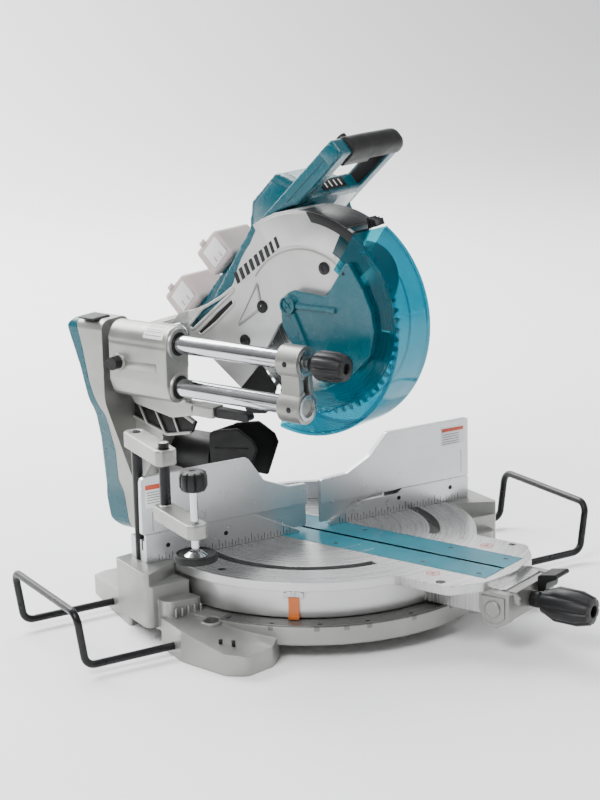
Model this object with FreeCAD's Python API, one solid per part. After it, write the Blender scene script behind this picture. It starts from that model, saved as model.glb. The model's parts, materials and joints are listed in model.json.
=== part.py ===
import FreeCAD
import Part
import math
import os

V = FreeCAD.Vector
os.makedirs("parts", exist_ok=True)

# ---------------------------------------------------------------- driving sizes, millimetres
# Base frame: X to the operator's right, Y away from the operator, Z up; the origin is on the
# bench under the turntable's pivot, and the fence face is the plane Y = 0.
# Turn frame: the base frame turned about Z with the turntable, so the saw's arm points to -Y.
MITRE = 22.5            # degrees that the turntable is turned in the rest pose
TABLE = 97.0            # height of the table
TABLE_R = 222.0         # turntable lip radius
DRUM_R = 215.0          # turntable wall radius
DRUM_Z = 48.0           # underside of the turntable
RING_R = 243.5          # base ring radius
RING_TOP = 45.0         # height of the base ring
RING_LOW = 20.0         # underside of the base ring
FENCE_HALF = 258.0      # half the length of the lower fence
SUB_TOP = 215.0         # top of the sub-fences
ROD_R = 5.0             # work holder wire radius
HOLDER_BACK = 104.0     # y of the rear holder wire
HOLDER_FRONT = -90.0    # y of the front holder wire
POLE_X = -100.0         # slide poles
POLE_R = 12.5
POLE_HIGH = 360.0
POLE_LOW = 300.0
PIVOT_Y = 215.0         # head hinge
PIVOT_Z = 350.0
BLADE_Y = -15.0         # blade axis with the head raised
BLADE_Z = 395.0
BLADE_R = 130.0
TEETH = 60
BOLT_X = 221.0          # bench bolt holes
BOLT_FRONT = -106.0
BOLT_BACK = 140.0
BOLT_R = 4.5
SCREWS_X = 240.0        # holder clamp screws
GAP = 0.4               # clearance between parts that move past each other
THROAT_Z = 76.0         # floor of the blade's throat in the turntable
BOW_TOP = 123.0         # top of the fence's rear bow
POINTER = -61.0         # degrees from the front to the mitre pointer, in the turn frame
ARM_TOP = 384.0         # top of the bevel arm
LOCK_X = -85.0          # slide lock's axis
LOCK_Z = 269.0
GEAR_ANGLE = 41.0       # degrees of the line from the blade axis to the motor axis
GEAR_CENTRES = 42.6     # distance between those axes
WHEEL_TEETH = 36
PINION_TEETH = 9
MOTOR_Y = BLADE_Y + GEAR_CENTRES * math.cos(math.radians(GEAR_ANGLE))
MOTOR_Z = BLADE_Z + GEAR_CENTRES * math.sin(math.radians(GEAR_ANGLE))
HANDLE_SLOPE = 43.5     # degrees that the handle falls to the rear
HANDLE_Y = -46.0        # front end of the handle's centre line
HANDLE_Z = 622.0
BATTERY_AT = ((222, 452), (285, 382))
CASE_BOLTS = ((56, 409), (-48, 471), (87, 359))
POST_X = -254.0         # vise post, then the axes of its two arms' front ends
POST_Y = 25.0
DROP_X = -261.0
DROP_Y = -68.0
SCREW_X = -264.0
SCREW_Y = -152.0


# ---------------------------------------------------------------- helpers
def axis_vector(name):
    """Unit vector of "x", "y" or "z", with an optional minus sign."""
    sign = -1.0 if name.startswith("-") else 1.0
    parts = {"x": V(1, 0, 0), "y": V(0, 1, 0), "z": V(0, 0, 1)}
    return parts[name[-1]] * sign


def box(x0, x1, y0, y1, z0, z1):
    return Part.makeBox(x1 - x0, y1 - y0, z1 - z0, V(x0, y0, z0))


def rod(r, x, y, z, axis, length):
    """A cylinder that starts at a point and runs along an axis."""
    return Part.makeCylinder(r, length, V(x, y, z), axis_vector(axis))


def tube(outer, inner, x, y, z, axis, length):
    return rod(outer, x, y, z, axis, length).cut(rod(inner, x, y, z, axis, length))


def cone(r0, r1, x, y, z, axis, length):
    return Part.makeCone(r0, r1, length, V(x, y, z), axis_vector(axis))


def on_plane(plane, u, v, level):
    """Point (u, v) of a drawing plane at a level along its normal."""
    if plane == "xy":
        return V(u, v, level)
    if plane == "xz":
        return V(u, level, v)
    return V(level, u, v)


def corner_arc(before, here, after, r):
    """Start, middle and end of the arc that rounds a corner, no larger than its runs allow."""
    shorter = min((before - here).Length, (after - here).Length)
    a = (before - here).normalize()
    b = (after - here).normalize()
    half = a.getAngle(b) / 2
    if half > math.radians(89.9):
        return here, None, here
    bisector = (a + b).normalize()
    reach = min(r / math.tan(half), 0.49 * shorter)
    r = reach * math.tan(half)
    middle = here + bisector * (r / math.sin(half) - r)
    return here + a * reach, middle, here + b * reach


def rounded_wire(points, closed=True):
    """Straight runs joined by tangent arcs; each point is a vector and a corner radius."""
    count = len(points)
    stops = []
    for i, (here, r) in enumerate(points):
        inner = closed or 0 < i < count - 1
        if r and inner:
            stops.append(corner_arc(points[i - 1][0], here, points[(i + 1) % count][0], r))
        else:
            stops.append((here, None, here))
    edges = []
    for i, (start, middle, end) in enumerate(stops):
        if middle:
            edges.append(Part.Arc(start, middle, end).toShape())
        if i == count - 1 and not closed:
            break
        following = stops[(i + 1) % count][0]
        if end.distanceToPoint(following) > 1e-4:
            edges.append(Part.LineSegment(end, following).toShape())
    return Part.Wire(edges)


def slab(plane, points, low, high):
    """An outline with optional corner radii, drawn on a plane and extruded along its normal."""
    corners = [(on_plane(plane, p[0], p[1], low), p[2] if len(p) > 2 else 0) for p in points]
    run = on_plane(plane, 0, 0, high) - on_plane(plane, 0, 0, low)
    return Part.Face(rounded_wire(corners)).extrude(run)


def mirrored(points):
    """An xy or xz outline reflected in x = 0."""
    return [(-p[0],) + tuple(p[1:]) for p in reversed(points)]


def sector(plane, centre, inner, outer, start, end, low, high):
    """Part of a flat ring; angles in degrees from the first drawing axis."""
    def at(r, angle):
        u = centre[0] + r * math.cos(math.radians(angle))
        v = centre[1] + r * math.sin(math.radians(angle))
        return on_plane(plane, u, v, low)

    middle = (start + end) / 2
    edges = [
        Part.Arc(at(outer, start), at(outer, middle), at(outer, end)).toShape(),
        Part.LineSegment(at(outer, end), at(inner, end)).toShape(),
        Part.Arc(at(inner, end), at(inner, middle), at(inner, start)).toShape(),
        Part.LineSegment(at(inner, start), at(outer, start)).toShape(),
    ]
    run = on_plane(plane, 0, 0, high) - on_plane(plane, 0, 0, low)
    return Part.Face(Part.Wire(edges)).extrude(run)


def join(*shapes):
    whole = shapes[0].multiFuse(list(shapes[1:])) if len(shapes) > 1 else shapes[0]
    return whole.removeSplitter()


def soften(shape, r, wanted):
    """Round the edges that a test picks, or leave the shape as it is if they can't be rounded."""
    edges = [e for e in shape.Edges if wanted(e)]
    if not edges:
        return shape
    try:
        smooth = shape.makeFillet(r, edges)
    except Part.OCCError:
        return shape
    return smooth if smooth.isValid() and smooth.Solids else shape


def level_edges(z):
    """Test for edges that lie at one height."""
    def wanted(edge):
        b = edge.BoundBox
        return abs(b.ZMin - z) < 1e-3 and abs(b.ZMax - z) < 1e-3
    return wanted


def side_edges(x):
    """Test for edges that lie in one plane of constant x."""
    def wanted(edge):
        b = edge.BoundBox
        return abs(b.XMin - x) < 1e-3 and abs(b.XMax - x) < 1e-3
    return wanted


def wire_rod(points, r):
    """A round bar bent along a path of straight runs and arcs."""
    path = rounded_wire(points, closed=False)
    start = points[0][0]
    heading = (points[1][0] - start).normalize()
    profile = Part.Wire(Part.makeCircle(r, start, heading))
    return path.makePipeShell([profile], True, True)


def lobed_knob(r, lobes, x, y, z, axis, length, hollow=0.0):
    """A knob with flutes round its edge and a small dimple in its outer end."""
    body = rod(r, x, y, z, axis, length)
    body = soften(body, r * 0.16, lambda e: e.Curve.TypeId == "Part::GeomCircle")
    run = axis_vector(axis)
    side = V(0, 0, 1) if axis[-1] != "z" else V(1, 0, 0)
    other = run.cross(side)
    flutes = []
    for i in range(lobes):
        a = 2 * math.pi * i / lobes
        centre = V(x, y, z) + (side * math.cos(a) + other * math.sin(a)) * (r * 1.12)
        flutes.append(Part.makeCylinder(r * 0.2, length * 0.8, centre + run * (length * 0.1), run))
    body = body.cut(Part.makeCompound(flutes))
    if hollow:
        end = V(x, y, z) + run * (length - hollow)
        body = body.cut(Part.makeCylinder(r * 0.3, hollow + 1, end, run))
    return body


def hex_screw(head_r, head, r, length, x, y, z, axis):
    """A socket-head screw: the shank runs along the axis from the point, the head the other way."""
    back = axis[1:] if axis.startswith("-") else "-" + axis
    run = axis_vector(axis)
    shank = rod(r, x, y, z, axis, length)
    cap = rod(head_r, x, y, z, back, head)
    top = V(x, y, z) - run * head
    corners = []
    for i in range(6):
        a = math.pi * i / 3
        side = V(0, 0, 1) if axis[-1] != "z" else V(1, 0, 0)
        other = run.cross(side)
        corners.append(top + (side * math.cos(a) + other * math.sin(a)) * (head_r * 0.5))
    socket = Part.Face(Part.makePolygon(corners + corners[:1])).extrude(run * (head * 0.6))
    return join(cap, shank).cut(socket)


def group(shapes):
    return Part.makeCompound(shapes)


written = {}


def save(name, shape, turned=False):
    """Write one node; a turned node is drawn in the turn frame."""
    result = shape.copy()
    if turned:
        result.rotate(V(0, 0, 0), V(0, 0, 1), MITRE)
    result.exportStep("parts/" + name + ".step")
    written[name] = result


# ---------------------------------------------------------------- base
def base_casting():
    ring = tube(RING_R, 176, 0, 0, RING_LOW, "z", RING_TOP - RING_LOW)
    ring = soften(ring, 3, level_edges(RING_LOW))
    parts = [ring, rod(42, 0, 0, 0, "z", 45.5)]
    for angle in range(0, 360, 45):
        spoke = box(30, 190, -9, 9, 20, 34)
        spoke.rotate(V(0, 0, 0), V(0, 0, 1), angle)
        parts.append(spoke)
    front = [(-190, -52), (-268, -52, 4), (-270, -113, 14), (-247, -186, 10), (-224, -204, 12),
             (-182, -194, 10), (-160, -172)]
    rear = [(-190, 40), (-268, 40, 4), (-262, 100, 30), (-250, 190, 14), (-226, 204, 12),
            (-186, 202, 10), (-150, 170), (-160, 110)]
    wing = [(-281, 48, 4), (-214, 58), (-214, -43, 6), (-281, -43, 10)]
    step = [(-275, 30), (-212, 30), (-212, -66, 8), (-262, -62, 14)]
    for outline in (lambda points: points, mirrored):
        parts.append(slab("xy", outline(front), 0, 41))
        parts.append(slab("xy", outline(rear), 0, 40))
        parts.append(slab("xy", outline(wing), 24, TABLE))
        parts.append(slab("xy", outline(step), 20, 62))
    body = join(*parts)
    toe_slope = slab("yz", [(-113, 41), (-212, 24), (-212, 60), (-113, 60)], -300, 300)
    heel_slope = slab("yz", [(70, 40), (212, 22), (212, 60), (70, 60)], -300, 300)
    slopes = join(toe_slope, heel_slope).cut(rod(RING_R, 0, 0, 0, "z", 100))
    turntable_room = rod(TABLE_R + 1.5, 0, 0, RING_TOP + 0.5, "z", 80)
    holes = [slopes, turntable_room, rod(10.05, 0, 0, 6, "z", 60)] + arm_relief()
    holes.append(rod(7.02, POST_X, POST_Y, 40, "z", 70))
    for y in (HOLDER_BACK, HOLDER_FRONT):
        holes.append(rod(ROD_R + GAP, -300, y, 14, "x", 600))
    for x in (-BOLT_X, BOLT_X):
        for y in (BOLT_FRONT, BOLT_BACK):
            holes.append(rod(BOLT_R, x, y, -1, "z", 60))
            holes.append(rod(9.5, x, y, 26, "z", 40))
    for x in (-165, 165):
        holes.append(rod(3.55, x, 3, 10, "z", 60))
    for x, y in fence_bolt_places():
        holes.append(rod(3.5, x, y, 50, "z", 60))
    for x in (-SCREWS_X, SCREWS_X):
        holes.append(rod(4.02, x, HOLDER_BACK, 14, "z", 60))
    for hole in holes:
        body = body.cut(hole)
    return body


def arm_relief():
    """Room beside the wings for the turntable's front arm at the ends of its travel."""
    cutters = []
    for angle in (-60, 60):
        cutter = box(-102.5, 102.5, -330, -150, 80, 120)
        cutter.rotate(V(0, 0, 0), V(0, 0, 1), angle)
        cutters.append(cutter)
    return cutters


def fence_bolt_places():
    return [(side * x, 38) for side in (-1, 1) for x in (226, 241)]


def guide_fence():
    foot = TABLE + GAP
    left = [(-FENCE_HALF, foot, 2), (-FENCE_HALF, 136, 3), (-97, 136), (-24, 99.5), (-24, foot)]
    right = [(24, foot), (24, 101), (67, 123, 4), (137, 124, 3), (144, 130, 3),
             (FENCE_HALF, 130, 3), (FENCE_HALF, foot, 2)]
    parts = [slab("xz", left, 0, 5), slab("xz", right, 0, 5)]
    for side in (-1, 1):
        shelf = sorted((side * 84, side * FENCE_HALF))
        parts.append(box(shelf[0], shelf[1], 4, 45, foot, 101))
        block = sorted((side * 186, side * FENCE_HALF))
        parts.append(box(block[0], block[1], 4, 45, foot, 126))
        parts.append(rod(3.5, side * 165, 3, 34, "z", 66))
    parts.append(sector("xy", (0, 0), 140, 149, 10, 170, foot, BOW_TOP))
    fence = join(*parts)
    for side in (-1, 1):
        groove = sorted((side * 100, side * 300))
        fence = fence.cut(box(groove[0], groove[1], 9.6, 14.4, 112, 140))
    for x, y in fence_bolt_places():
        fence = fence.cut(rod(3.5, x, y, 90, "z", 60))
        fence = fence.cut(rod(6.6, x, y, 118, "z", 20))
    for x in (-226, -139, 139, 227):
        fence = fence.cut(cone(3.2, 1.6, x, -0.01, 117, "y", 1.6))
    return fence.cut(rod(7.6, POST_X, POST_Y, 90, "z", 60))


def fence_bolts():
    return group([hex_screw(6, 6, 3.4, 60, x, y, 118, "-z") for x, y in fence_bolt_places()])


def mitre_scale():
    """A curved plate on the front of the ring that carries the mitre scale."""
    plate = sector("xy", (0, 0), 219, 241, -152, -28, RING_TOP, RING_TOP + 1.6)
    for angle in (-150, -30):
        a = math.radians(angle)
        plate = plate.cut(rod(2.5, 230 * math.cos(a), 230 * math.sin(a), RING_TOP - 1, "z", 5))
    return plate


def pivot_bolt():
    socket = rod(5, 0, 0, THROAT_Z - 10, "z", 20)
    return rod(10, 0, 0, 6.2, "z", THROAT_Z - 8).cut(socket)


def sub_fence(profile, lobe, sign):
    """A tall fence plate with a lobe that passes behind the lower fence and a guide tongue."""
    bottom = min(p[1] for p in profile)
    near, away = sorted((sign * 120, sign * 235))
    plate = slab("xz", profile, 0, 8)
    flap = slab("xz", lobe, 5.4, 8)
    web = box(near, away, 7.5, 14, bottom, bottom + 10)
    tongue = box(near, away, 10, 14, 112.4, bottom + 5)
    rib = box(near, away, 7.5, 15.5, bottom + 6, bottom + 11)
    return join(plate, flap, web, tongue, rib)


def left_sub_fence():
    profile = [(-11, 136.4), (-11, 164, 3), (-40, 165, 8), (-78, 180, 8), (-102, SUB_TOP, 5),
               (-262, SUB_TOP, 9), (-263, 136.4, 3)]
    lobe = [(-11, 103, 2), (-11, 150), (-120, 150), (-120, 136.4), (-100, 136.4), (-40, 103, 3)]
    return sub_fence(profile, lobe, -1)


def right_sub_fence():
    profile = [(11, 130.4), (11, 165, 4), (54, 167, 10), (92, 186, 10), (120, SUB_TOP, 3),
               (FENCE_HALF, SUB_TOP, 2), (FENCE_HALF, 130.4, 2)]
    lobe = [(11, 103, 2), (11, 150), (140, 150), (140, 127.5), (100, 127.5), (67, 121), (26, 103, 2)]
    return sub_fence(profile, lobe, 1)


def work_holder(side):
    """A bent wire loop whose two legs slide in the base."""
    leg_end = 141
    bend = 392
    loop = 402
    top = 85
    points = [
        (V(side * leg_end, HOLDER_BACK, 14), 0),
        (V(side * bend, HOLDER_BACK, 14), 15),
        (V(side * loop, HOLDER_BACK, top), 15),
        (V(side * loop, HOLDER_FRONT, top), 15),
        (V(side * bend, HOLDER_FRONT, 14), 15),
        (V(side * leg_end, HOLDER_FRONT, 14), 0),
    ]
    return wire_rod(points, ROD_R)


# ---------------------------------------------------------------- turntable, in the turn frame
def turntable():
    top = rod(TABLE_R, 0, 0, 85, "z", 12)
    wall = tube(DRUM_R, 203, 0, 0, DRUM_Z, "z", 40)
    hub = rod(40, 0, 0, DRUM_Z, "z", 40)
    plate = slab("xy", [(-100, -150), (-100, -280, 14), (-60, -310, 30), (0, -321, 60),
                        (60, -309, 30), (97, -280, 14), (97, -150)], 85, TABLE)
    nose = slab("xy", [(-46, -195), (-46, -330, 8), (46, -330, 8), (46, -195)], 49, 86)
    heel = slab("xy", [(-50, 190), (50, 190), (50, 258, 10), (-50, 258, 10)], 56, TABLE - 3)
    barrel = rod(34, 0, 205, TABLE, "y", 52)
    body = join(top, wall, hub, plate, nose, heel, barrel)
    holes = [rod(16.06, 0, 190, TABLE, "y", 80), rod(10.08, 0, 0, 40, "z", 50)]
    # curved slots over the fence's posts
    for middle in (0, 180):
        holes.append(sector("xy", (0, 0), 158, 172, middle - 64.5, middle + 64.5, 80, 100))
    # recess for the kerf boards and throat for the blade
    holes.append(slab("xy", [(-48, 150), (48, 150), (48, -303), (-48, -303)], TABLE - 3, 105))
    holes.append(box(-26, 26, -292, 140, THROAT_Z, 110))
    for x, y, r in ((-201, 3, 5.5), (201, -3, 5.5), (-88, -262, 6.5), (88, -262, 5)):
        holes.append(rod(r, x, y, 80, "z", 20))
    holes.append(rod(6.2, 0, -345, 64, "y", 60))
    for hole in holes:
        body = body.cut(hole)
    return body


def kerf_boards():
    """Two plastic boards; their inner edges slope away so the blade can lean."""
    boards = []
    for side in (-1, 1):
        section = [(side * 2.8, TABLE), (side * 47.6, TABLE), (side * 47.6, TABLE - 3 + 0.02),
                   (side * 6, TABLE - 3 + 0.02)]
        board = slab("xz", section, -302, 149)
        for y in (-285, -200, -60, 120):
            board = board.cut(cone(3.6, 2.0, side * 34, y, TABLE + 0.01, "-z", 3.2))
        boards.append(board)
    return group(boards)


def mitre_pointer():
    """Clear orange pointer on the turntable's wall, above the mitre scale."""
    arm = box(-7, 7, -DRUM_R - 5.5, -DRUM_R - 1.5, 50, 84)
    tip = box(-7, 7, -DRUM_R - 8, -DRUM_R - 1.5, 48.2, 52)
    pointer = join(arm, tip)
    pointer.rotate(V(0, 0, 0), V(0, 0, 1), POINTER)
    return pointer


def pointer_clip():
    """Small bracket and screw that hold the pointer to the wall."""
    y = -DRUM_R
    clip = slab("xz", [(-13, 78), (13, 78), (9, 86), (-9, 86)], y - 7, y - 5.5)
    for side in (-1, 1):
        ear = sorted((side * 9, side * 13))
        clip = join(clip, box(ear[0], ear[1], y - 7, y + 4, 76, 84))
    clip = join(clip, rod(2.6, 0, y - 8, 81.5, "y", 2.4))
    clip.rotate(V(0, 0, 0), V(0, 0, 1), POINTER)
    return clip.cut(rod(DRUM_R, 0, 0, 40, "z", 60)).cut(rod(TABLE_R, 0, 0, 84.9, "z", 20))


def lock_bracket():
    """Cast cheek under the arm's nose that carries the mitre lock."""
    cheek = slab("yz", [(-300, 84.9), (-344, 84.9, 4), (-344, 48, 8), (-326, 38, 6), (-310, 38, 6),
                        (-300, 60, 6)], -58, -46.1)
    strap = box(-58, 56, -344, -330.5, 50, 84)
    other = slab("yz", [(-306, 84.9), (-344, 84.9, 4), (-344, 46, 8), (-318, 46, 8)], 46.1, 56)
    body = join(cheek, strap, other)
    body = body.cut(rod(6.2, 0, -350, 64, "y", 40))
    return body.cut(rod(9, -70, -322, 64, "x", 24))


def mitre_grip():
    """Faceted grip that locks the turntable."""
    start = -362
    outline = [(0, start), (14, start), (17, start - 6), (23, start - 20), (23, start - 54),
               (18, start - 70), (9, start - 71), (9, start - 62), (0, start - 62)]
    face = Part.Face(Part.makePolygon([V(u, v, 64) for u, v in outline + outline[:1]]))
    body = face.revolve(V(0, 0, 64), V(0, 1, 0), 360)
    for i in range(8):
        groove = box(-2.4, 2.4, start - 56, start - 16, 64 + 21, 64 + 30)
        groove.rotate(V(0, 0, 64), V(0, 1, 0), 45 * i)
        body = body.cut(groove)
    return body.cut(rod(6, 0, start - 30, 64, "y", 40))


def grip_spindle():
    return rod(5.95, 0, -391, 64, "y", 100)


def release_lever():
    """Thumb lever of the mitre stop, hinged above the grip."""
    outline = [(-345, 70), (-345, 92, 4), (-372, 97, 5), (-374, 92, 3), (-358, 84, 4), (-356, 72, 3)]
    return slab("yz", outline, 12, 44)


# ---------------------------------------------------------------- bevel arm, in the turn frame
def arm_outer():
    """Envelope of the bevel arm: its side outline crossed with its rear outline."""
    side = slab("yz", [(262, ARM_TOP), (262, 60), (300, 60, 10), (320, 75, 14), (325, 112, 40),
                       (295, 210, 30),
                       (287, 252, 40), (305, 317, 40), (322, 362, 14), (326, 374, 8),
                       (316, ARM_TOP, 6)], -160, 90)
    rear = slab("xz", [(-128, ARM_TOP, 14), (-72, ARM_TOP, 14), (-70, 330, 30), (-34, 300, 30), (40, 190, 60),
                       (62, 130, 30), (62, 60, 20), (-62, 60, 20), (-66, 120, 60), (-128, 270, 60)], 255, 360)
    return side.common(rear)


def arm_housing():
    """Cast arm, open at the back where the cover closes it."""
    gusset = slab("yz", [(262, 268), (240, 262, 6), (210, 212, 14), (262, 130)], -66, -40)
    body = join(arm_outer(), gusset).cut(cover_room(0))
    pocket = slab("xz", [(-118, 320, 6), (-80, 320, 6), (-26, 262, 20), (30, 180, 20), (50, 140), (50, 132),
                         (-54, 132, 6), (-118, 276, 20)], 276, 350)
    holes = [pocket, rod(16, 0, 240, TABLE, "y", 110), rod(23, 0, 240, 178, "y", 24)]
    for z in (POLE_HIGH, POLE_LOW):
        holes.append(rod(POLE_R, POLE_X, 240, z, "y", 44.2))
    for hole in holes:
        body = body.cut(hole)
    return body


def cover_room(offset):
    """Space behind the arm that the cover takes, starting at an offset from the casting."""
    y = offset
    front = [(310, 410), (308, 376), (298, 339, 40), (289, 295, 40), (270, 246, 30), (276, 190, 40),
             (292, 140, 30), (282, 40)]
    points = [(p[0] + y,) + p[1:] for p in front]
    return slab("yz", points + [(420, 40), (420, 410)], -200, 120)


def arm_cover():
    """Moulded cover on the back of the arm."""
    return arm_outer().common(cover_room(0.2)).cut(rod(16, 0, 240, TABLE, "y", 66))


def bevel_shaft():
    return rod(15.98, 0, 212, TABLE, "y", 80)


def slide_pole(z):
    return tube(POLE_R, 6.0, POLE_X, -62, z, "y", 346)


def pole_bracket():
    """Front tie between the poles."""
    upper = rod(22, POLE_X, -66, POLE_HIGH, "y", 34)
    lower = rod(22, POLE_X, -66, POLE_LOW, "y", 34)
    web = slab("xz", [(POLE_X - 16, POLE_HIGH), (POLE_X + 14, POLE_HIGH), (POLE_X + 18, POLE_LOW),
                      (POLE_X - 12, POLE_LOW)], -64, -36)
    body = join(upper, lower, web)
    slot = slab("xz", [(POLE_X - 5, POLE_HIGH - 18, 4), (POLE_X + 7, POLE_HIGH - 18, 4),
                       (POLE_X + 8, POLE_LOW + 14, 4), (POLE_X - 3, POLE_LOW + 14, 4)], -70, -46)
    holes = [slot, rod(6, POLE_X, -70, POLE_HIGH, "y", 20), rod(11, POLE_X, -70, POLE_LOW, "y", 6)]
    for z in (POLE_HIGH, POLE_LOW):
        holes.append(rod(POLE_R, POLE_X, -62, z, "y", 40))
    for hole in holes:
        body = body.cut(hole)
    return body


def bevel_scale():
    """Quadrant behind the table with the bevel scale."""
    plate = sector("xz", (0, TABLE), 38, 62, 20, 128, 258.4, 261.8)
    return plate.cut(rod(23.2, 0, 250, 178, "y", 30))


def dust_duct():
    return tube(22.8, 19.5, 0, 162, 178, "y", 99.8)


def dust_hood():
    """Open rubber scoop behind the blade."""
    outline = [(162, 153, 6), (162, 220, 14), (112, 230, 8), (84, 216, 4), (78, 204, 3), (98, 153, 4)]
    cheeks = [slab("yz", outline, -26.4, -22.8), slab("yz", outline, 22.8, 26.4)]
    back = slab("yz", [(157.8, 153), (162, 153), (162, 218), (157.8, 218)], -25, 25)
    return join(*cheeks, back).cut(rod(19.5, 0, 130, 178, "y", 40))


def bevel_knob():
    """Faceted knob on the front of the upper pole."""
    body = lobed_knob(20, 8, POLE_X, -84, POLE_HIGH, "-y", 46, hollow=8)
    collar = cone(9, 13, POLE_X, -74, POLE_HIGH, "-y", 10.5)
    return join(body, collar).cut(rod(5, POLE_X, -100, POLE_HIGH, "y", 40))


def bevel_rod():
    return rod(5, POLE_X, -100, POLE_HIGH, "y", 380)


# ---------------------------------------------------------------- carriage, in the turn frame
def carriage():
    """Slide casting: two bush housings, a keel with the slide lock and the head's two cheeks."""
    front = 150
    back = 254
    upper = rod(24, POLE_X, front, POLE_HIGH, "y", back - front)
    lower = rod(22, POLE_X, front, POLE_LOW, "y", back - front)
    web = slab("xz", [(-125, POLE_HIGH - 4), (-125, 306), (-118, 286), (-80, 290),
                      (-76, POLE_HIGH)], front, back)
    shelf = slab("xz", [(-84, 366, 3), (-84, 318), (33, 318, 8), (33, 366, 8)], 243, 261)
    cheek = [(261, 320, 8), (261, 366, 8), (238, 372, 10), (200, 372, 10), (186, 358, 10), (186, 338, 14),
             (225, 320, 14)]
    near = slab("yz", cheek, -60, -44)
    far = slab("yz", cheek, 25, 33)
    bridge = box(-84, -58, 190, 254, 332, 366)
    keel = slab("yz", [(150, 292), (254, 292), (246, 262, 10), (176, 250, 10), (120, 262, 4), (120, 277),
                       (150, 277)], -88, -74)
    anvil = box(-96, -72, 96, 132, 261, 277)
    body = join(upper, lower, web, shelf, near, far, bridge, keel, anvil)
    holes = [rod(9, -90, PIVOT_Y, PIVOT_Z, "x", 140), rod(5.1, -140, 235, 330, "x", 60)]
    holes.append(rod(4, LOCK_X, 80, LOCK_Z, "y", 60))
    for z in (POLE_HIGH, POLE_LOW):
        holes.append(rod(16, POLE_X, 90, z, "y", 180))
    for hole in holes:
        body = body.cut(hole)
    return body


def pole_bushes():
    rings = []
    for z in (POLE_HIGH, POLE_LOW):
        for y in (150.5, 224):
            rings.append(tube(16, POLE_R + 0.05, POLE_X, y, z, "y", 29))
    return group(rings)


def pivot_pin():
    return join(rod(9, -76, PIVOT_Y, PIVOT_Z, "x", 113), rod(13, 33.1, PIVOT_Y, PIVOT_Z, "x", 4))


def slide_lock():
    """Lever that clamps the carriage on the lower pole."""
    lever = slab("yz", [(95, 262.5, 3), (95, 276, 3), (40, 275, 5), (38, 264, 5)], LOCK_X - 7, LOCK_X + 7)
    return join(lever, rod(3.9, LOCK_X, 94, LOCK_Z, "y", 20))


def stop_pin():
    return join(rod(9, -141, 235, 330, "x", 14), rod(5, -139, 235, 330, "x", 50))


# ---------------------------------------------------------------- head, in the turn frame
def case_arc(r, start, end, step):
    """Points round the blade axis; angles run from the rear over the top."""
    points = []
    for angle in range(start, end, step):
        a = math.radians(angle)
        points.append((BLADE_Y + r * math.cos(a), BLADE_Z + r * math.sin(a)))
    return points


def blade_case():
    """Upper blade case with its left cover, the arm to the hinge and the hinge knuckle."""
    front = [(-94, 487), (-105, 498), (-78, 516)]
    rear = [(112, 424, 6), (147, 360), (186, 372), (186, 330), (150, 330), (92, 288, 6),
            (27, 390, 8), (-20, 400)]
    crown = list(reversed(case_arc(150, 62, 123, 10)))
    left = join(slab("yz", front + crown + rear, -32, -27), rod(26, -32, BLADE_Y, BLADE_Z, "x", 5))
    rim = sector("yz", (BLADE_Y, BLADE_Z), 141, 149.6, 56, 118, -32, 32)
    rear_wall = sector("yz", (BLADE_Y, BLADE_Z), 134.8, 141.5, 8, 60, -10, 32)
    right = sector("yz", (BLADE_Y, BLADE_Z), 34, 149.6, 10, 118, 27, 32)
    arm = slab("yz", [(100, 330), (100, 424, 10), (186, 389), (186, 326)], -32, 23)
    knuckle = slab("yz", [(180, 326), (180, 391), (222, 379, 18), (241, 352, 18), (222, 328, 14)], -12, 23)
    bearing = tube(19.9, 14, -38, BLADE_Y, BLADE_Z, "x", 7)
    body = join(left, rim, rear_wall, right, arm, knuckle, bearing)
    holes = [slab("yz", [(128, 346, 6), (128, 402, 6), (178, 380, 6), (178, 346, 6)], -20, 30)]
    holes.append(rod(9.05, -60, PIVOT_Y, PIVOT_Z, "x", 120))
    holes.append(rod(134.5, -26.9, BLADE_Y, BLADE_Z, "x", 53.8))
    holes.append(rod(14, -40, BLADE_Y, BLADE_Z, "x", 20))
    for y, z in CASE_BOLTS:
        holes.append(rod(3, -36, y, z, "x", 12))
    for hole in holes:
        body = body.cut(hole)
    return body


def centre_cover():
    """Sector-shaped cover over the arbor, with a raised edge, two ribs and a hub."""
    edge = [(-94, 487, 4), (-118, 452), (-131, 424), (-135, 398), (-128, 366), (-99, 335, 5)]
    outline = edge + [(-60, 316), (-15, 352, 20), (12, 388, 14), (15, 425, 12), (-4, 440, 14), (-60, 436, 10)]
    plate = slab("yz", outline, -46, -41)
    rim = slab("yz", edge + [(-104, 345), (-120, 372), (-126, 398), (-122, 424), (-110, 450),
                             (-90, 474)], -46, -37)
    hub = rod(12, -50, 0, 420, "x", 9.5)
    level_rib = box(-50, -45.9, -76, -8, 417, 423)
    slant_rib = slab("yz", [(-4, 408), (-10, 410), (-40, 350), (-34, 347)], -50, -45.9)
    return join(plate, rim, hub, level_rib, slant_rib)


def case_bolts():
    return group([hex_screw(7, 1.4, 3, 5, -32, y, z, "x") for y, z in CASE_BOLTS])


def gear_case():
    """Gear case on the motor side of the blade case, bored for the wheel and the pinion."""
    drum = rod(42, 32.1, BLADE_Y, BLADE_Z, "x", 34)
    nose = rod(26, 32.1, MOTOR_Y, MOTOR_Z, "x", 34)
    body = join(drum, nose)
    holes = [rod(36, 38, BLADE_Y, BLADE_Z, "x", 22), rod(14, 38, MOTOR_Y, MOTOR_Z, "x", 30)]
    holes.append(rod(10.1, 20, BLADE_Y, BLADE_Z, "x", 60))
    for hole in holes:
        body = body.cut(hole)
    return body


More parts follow.
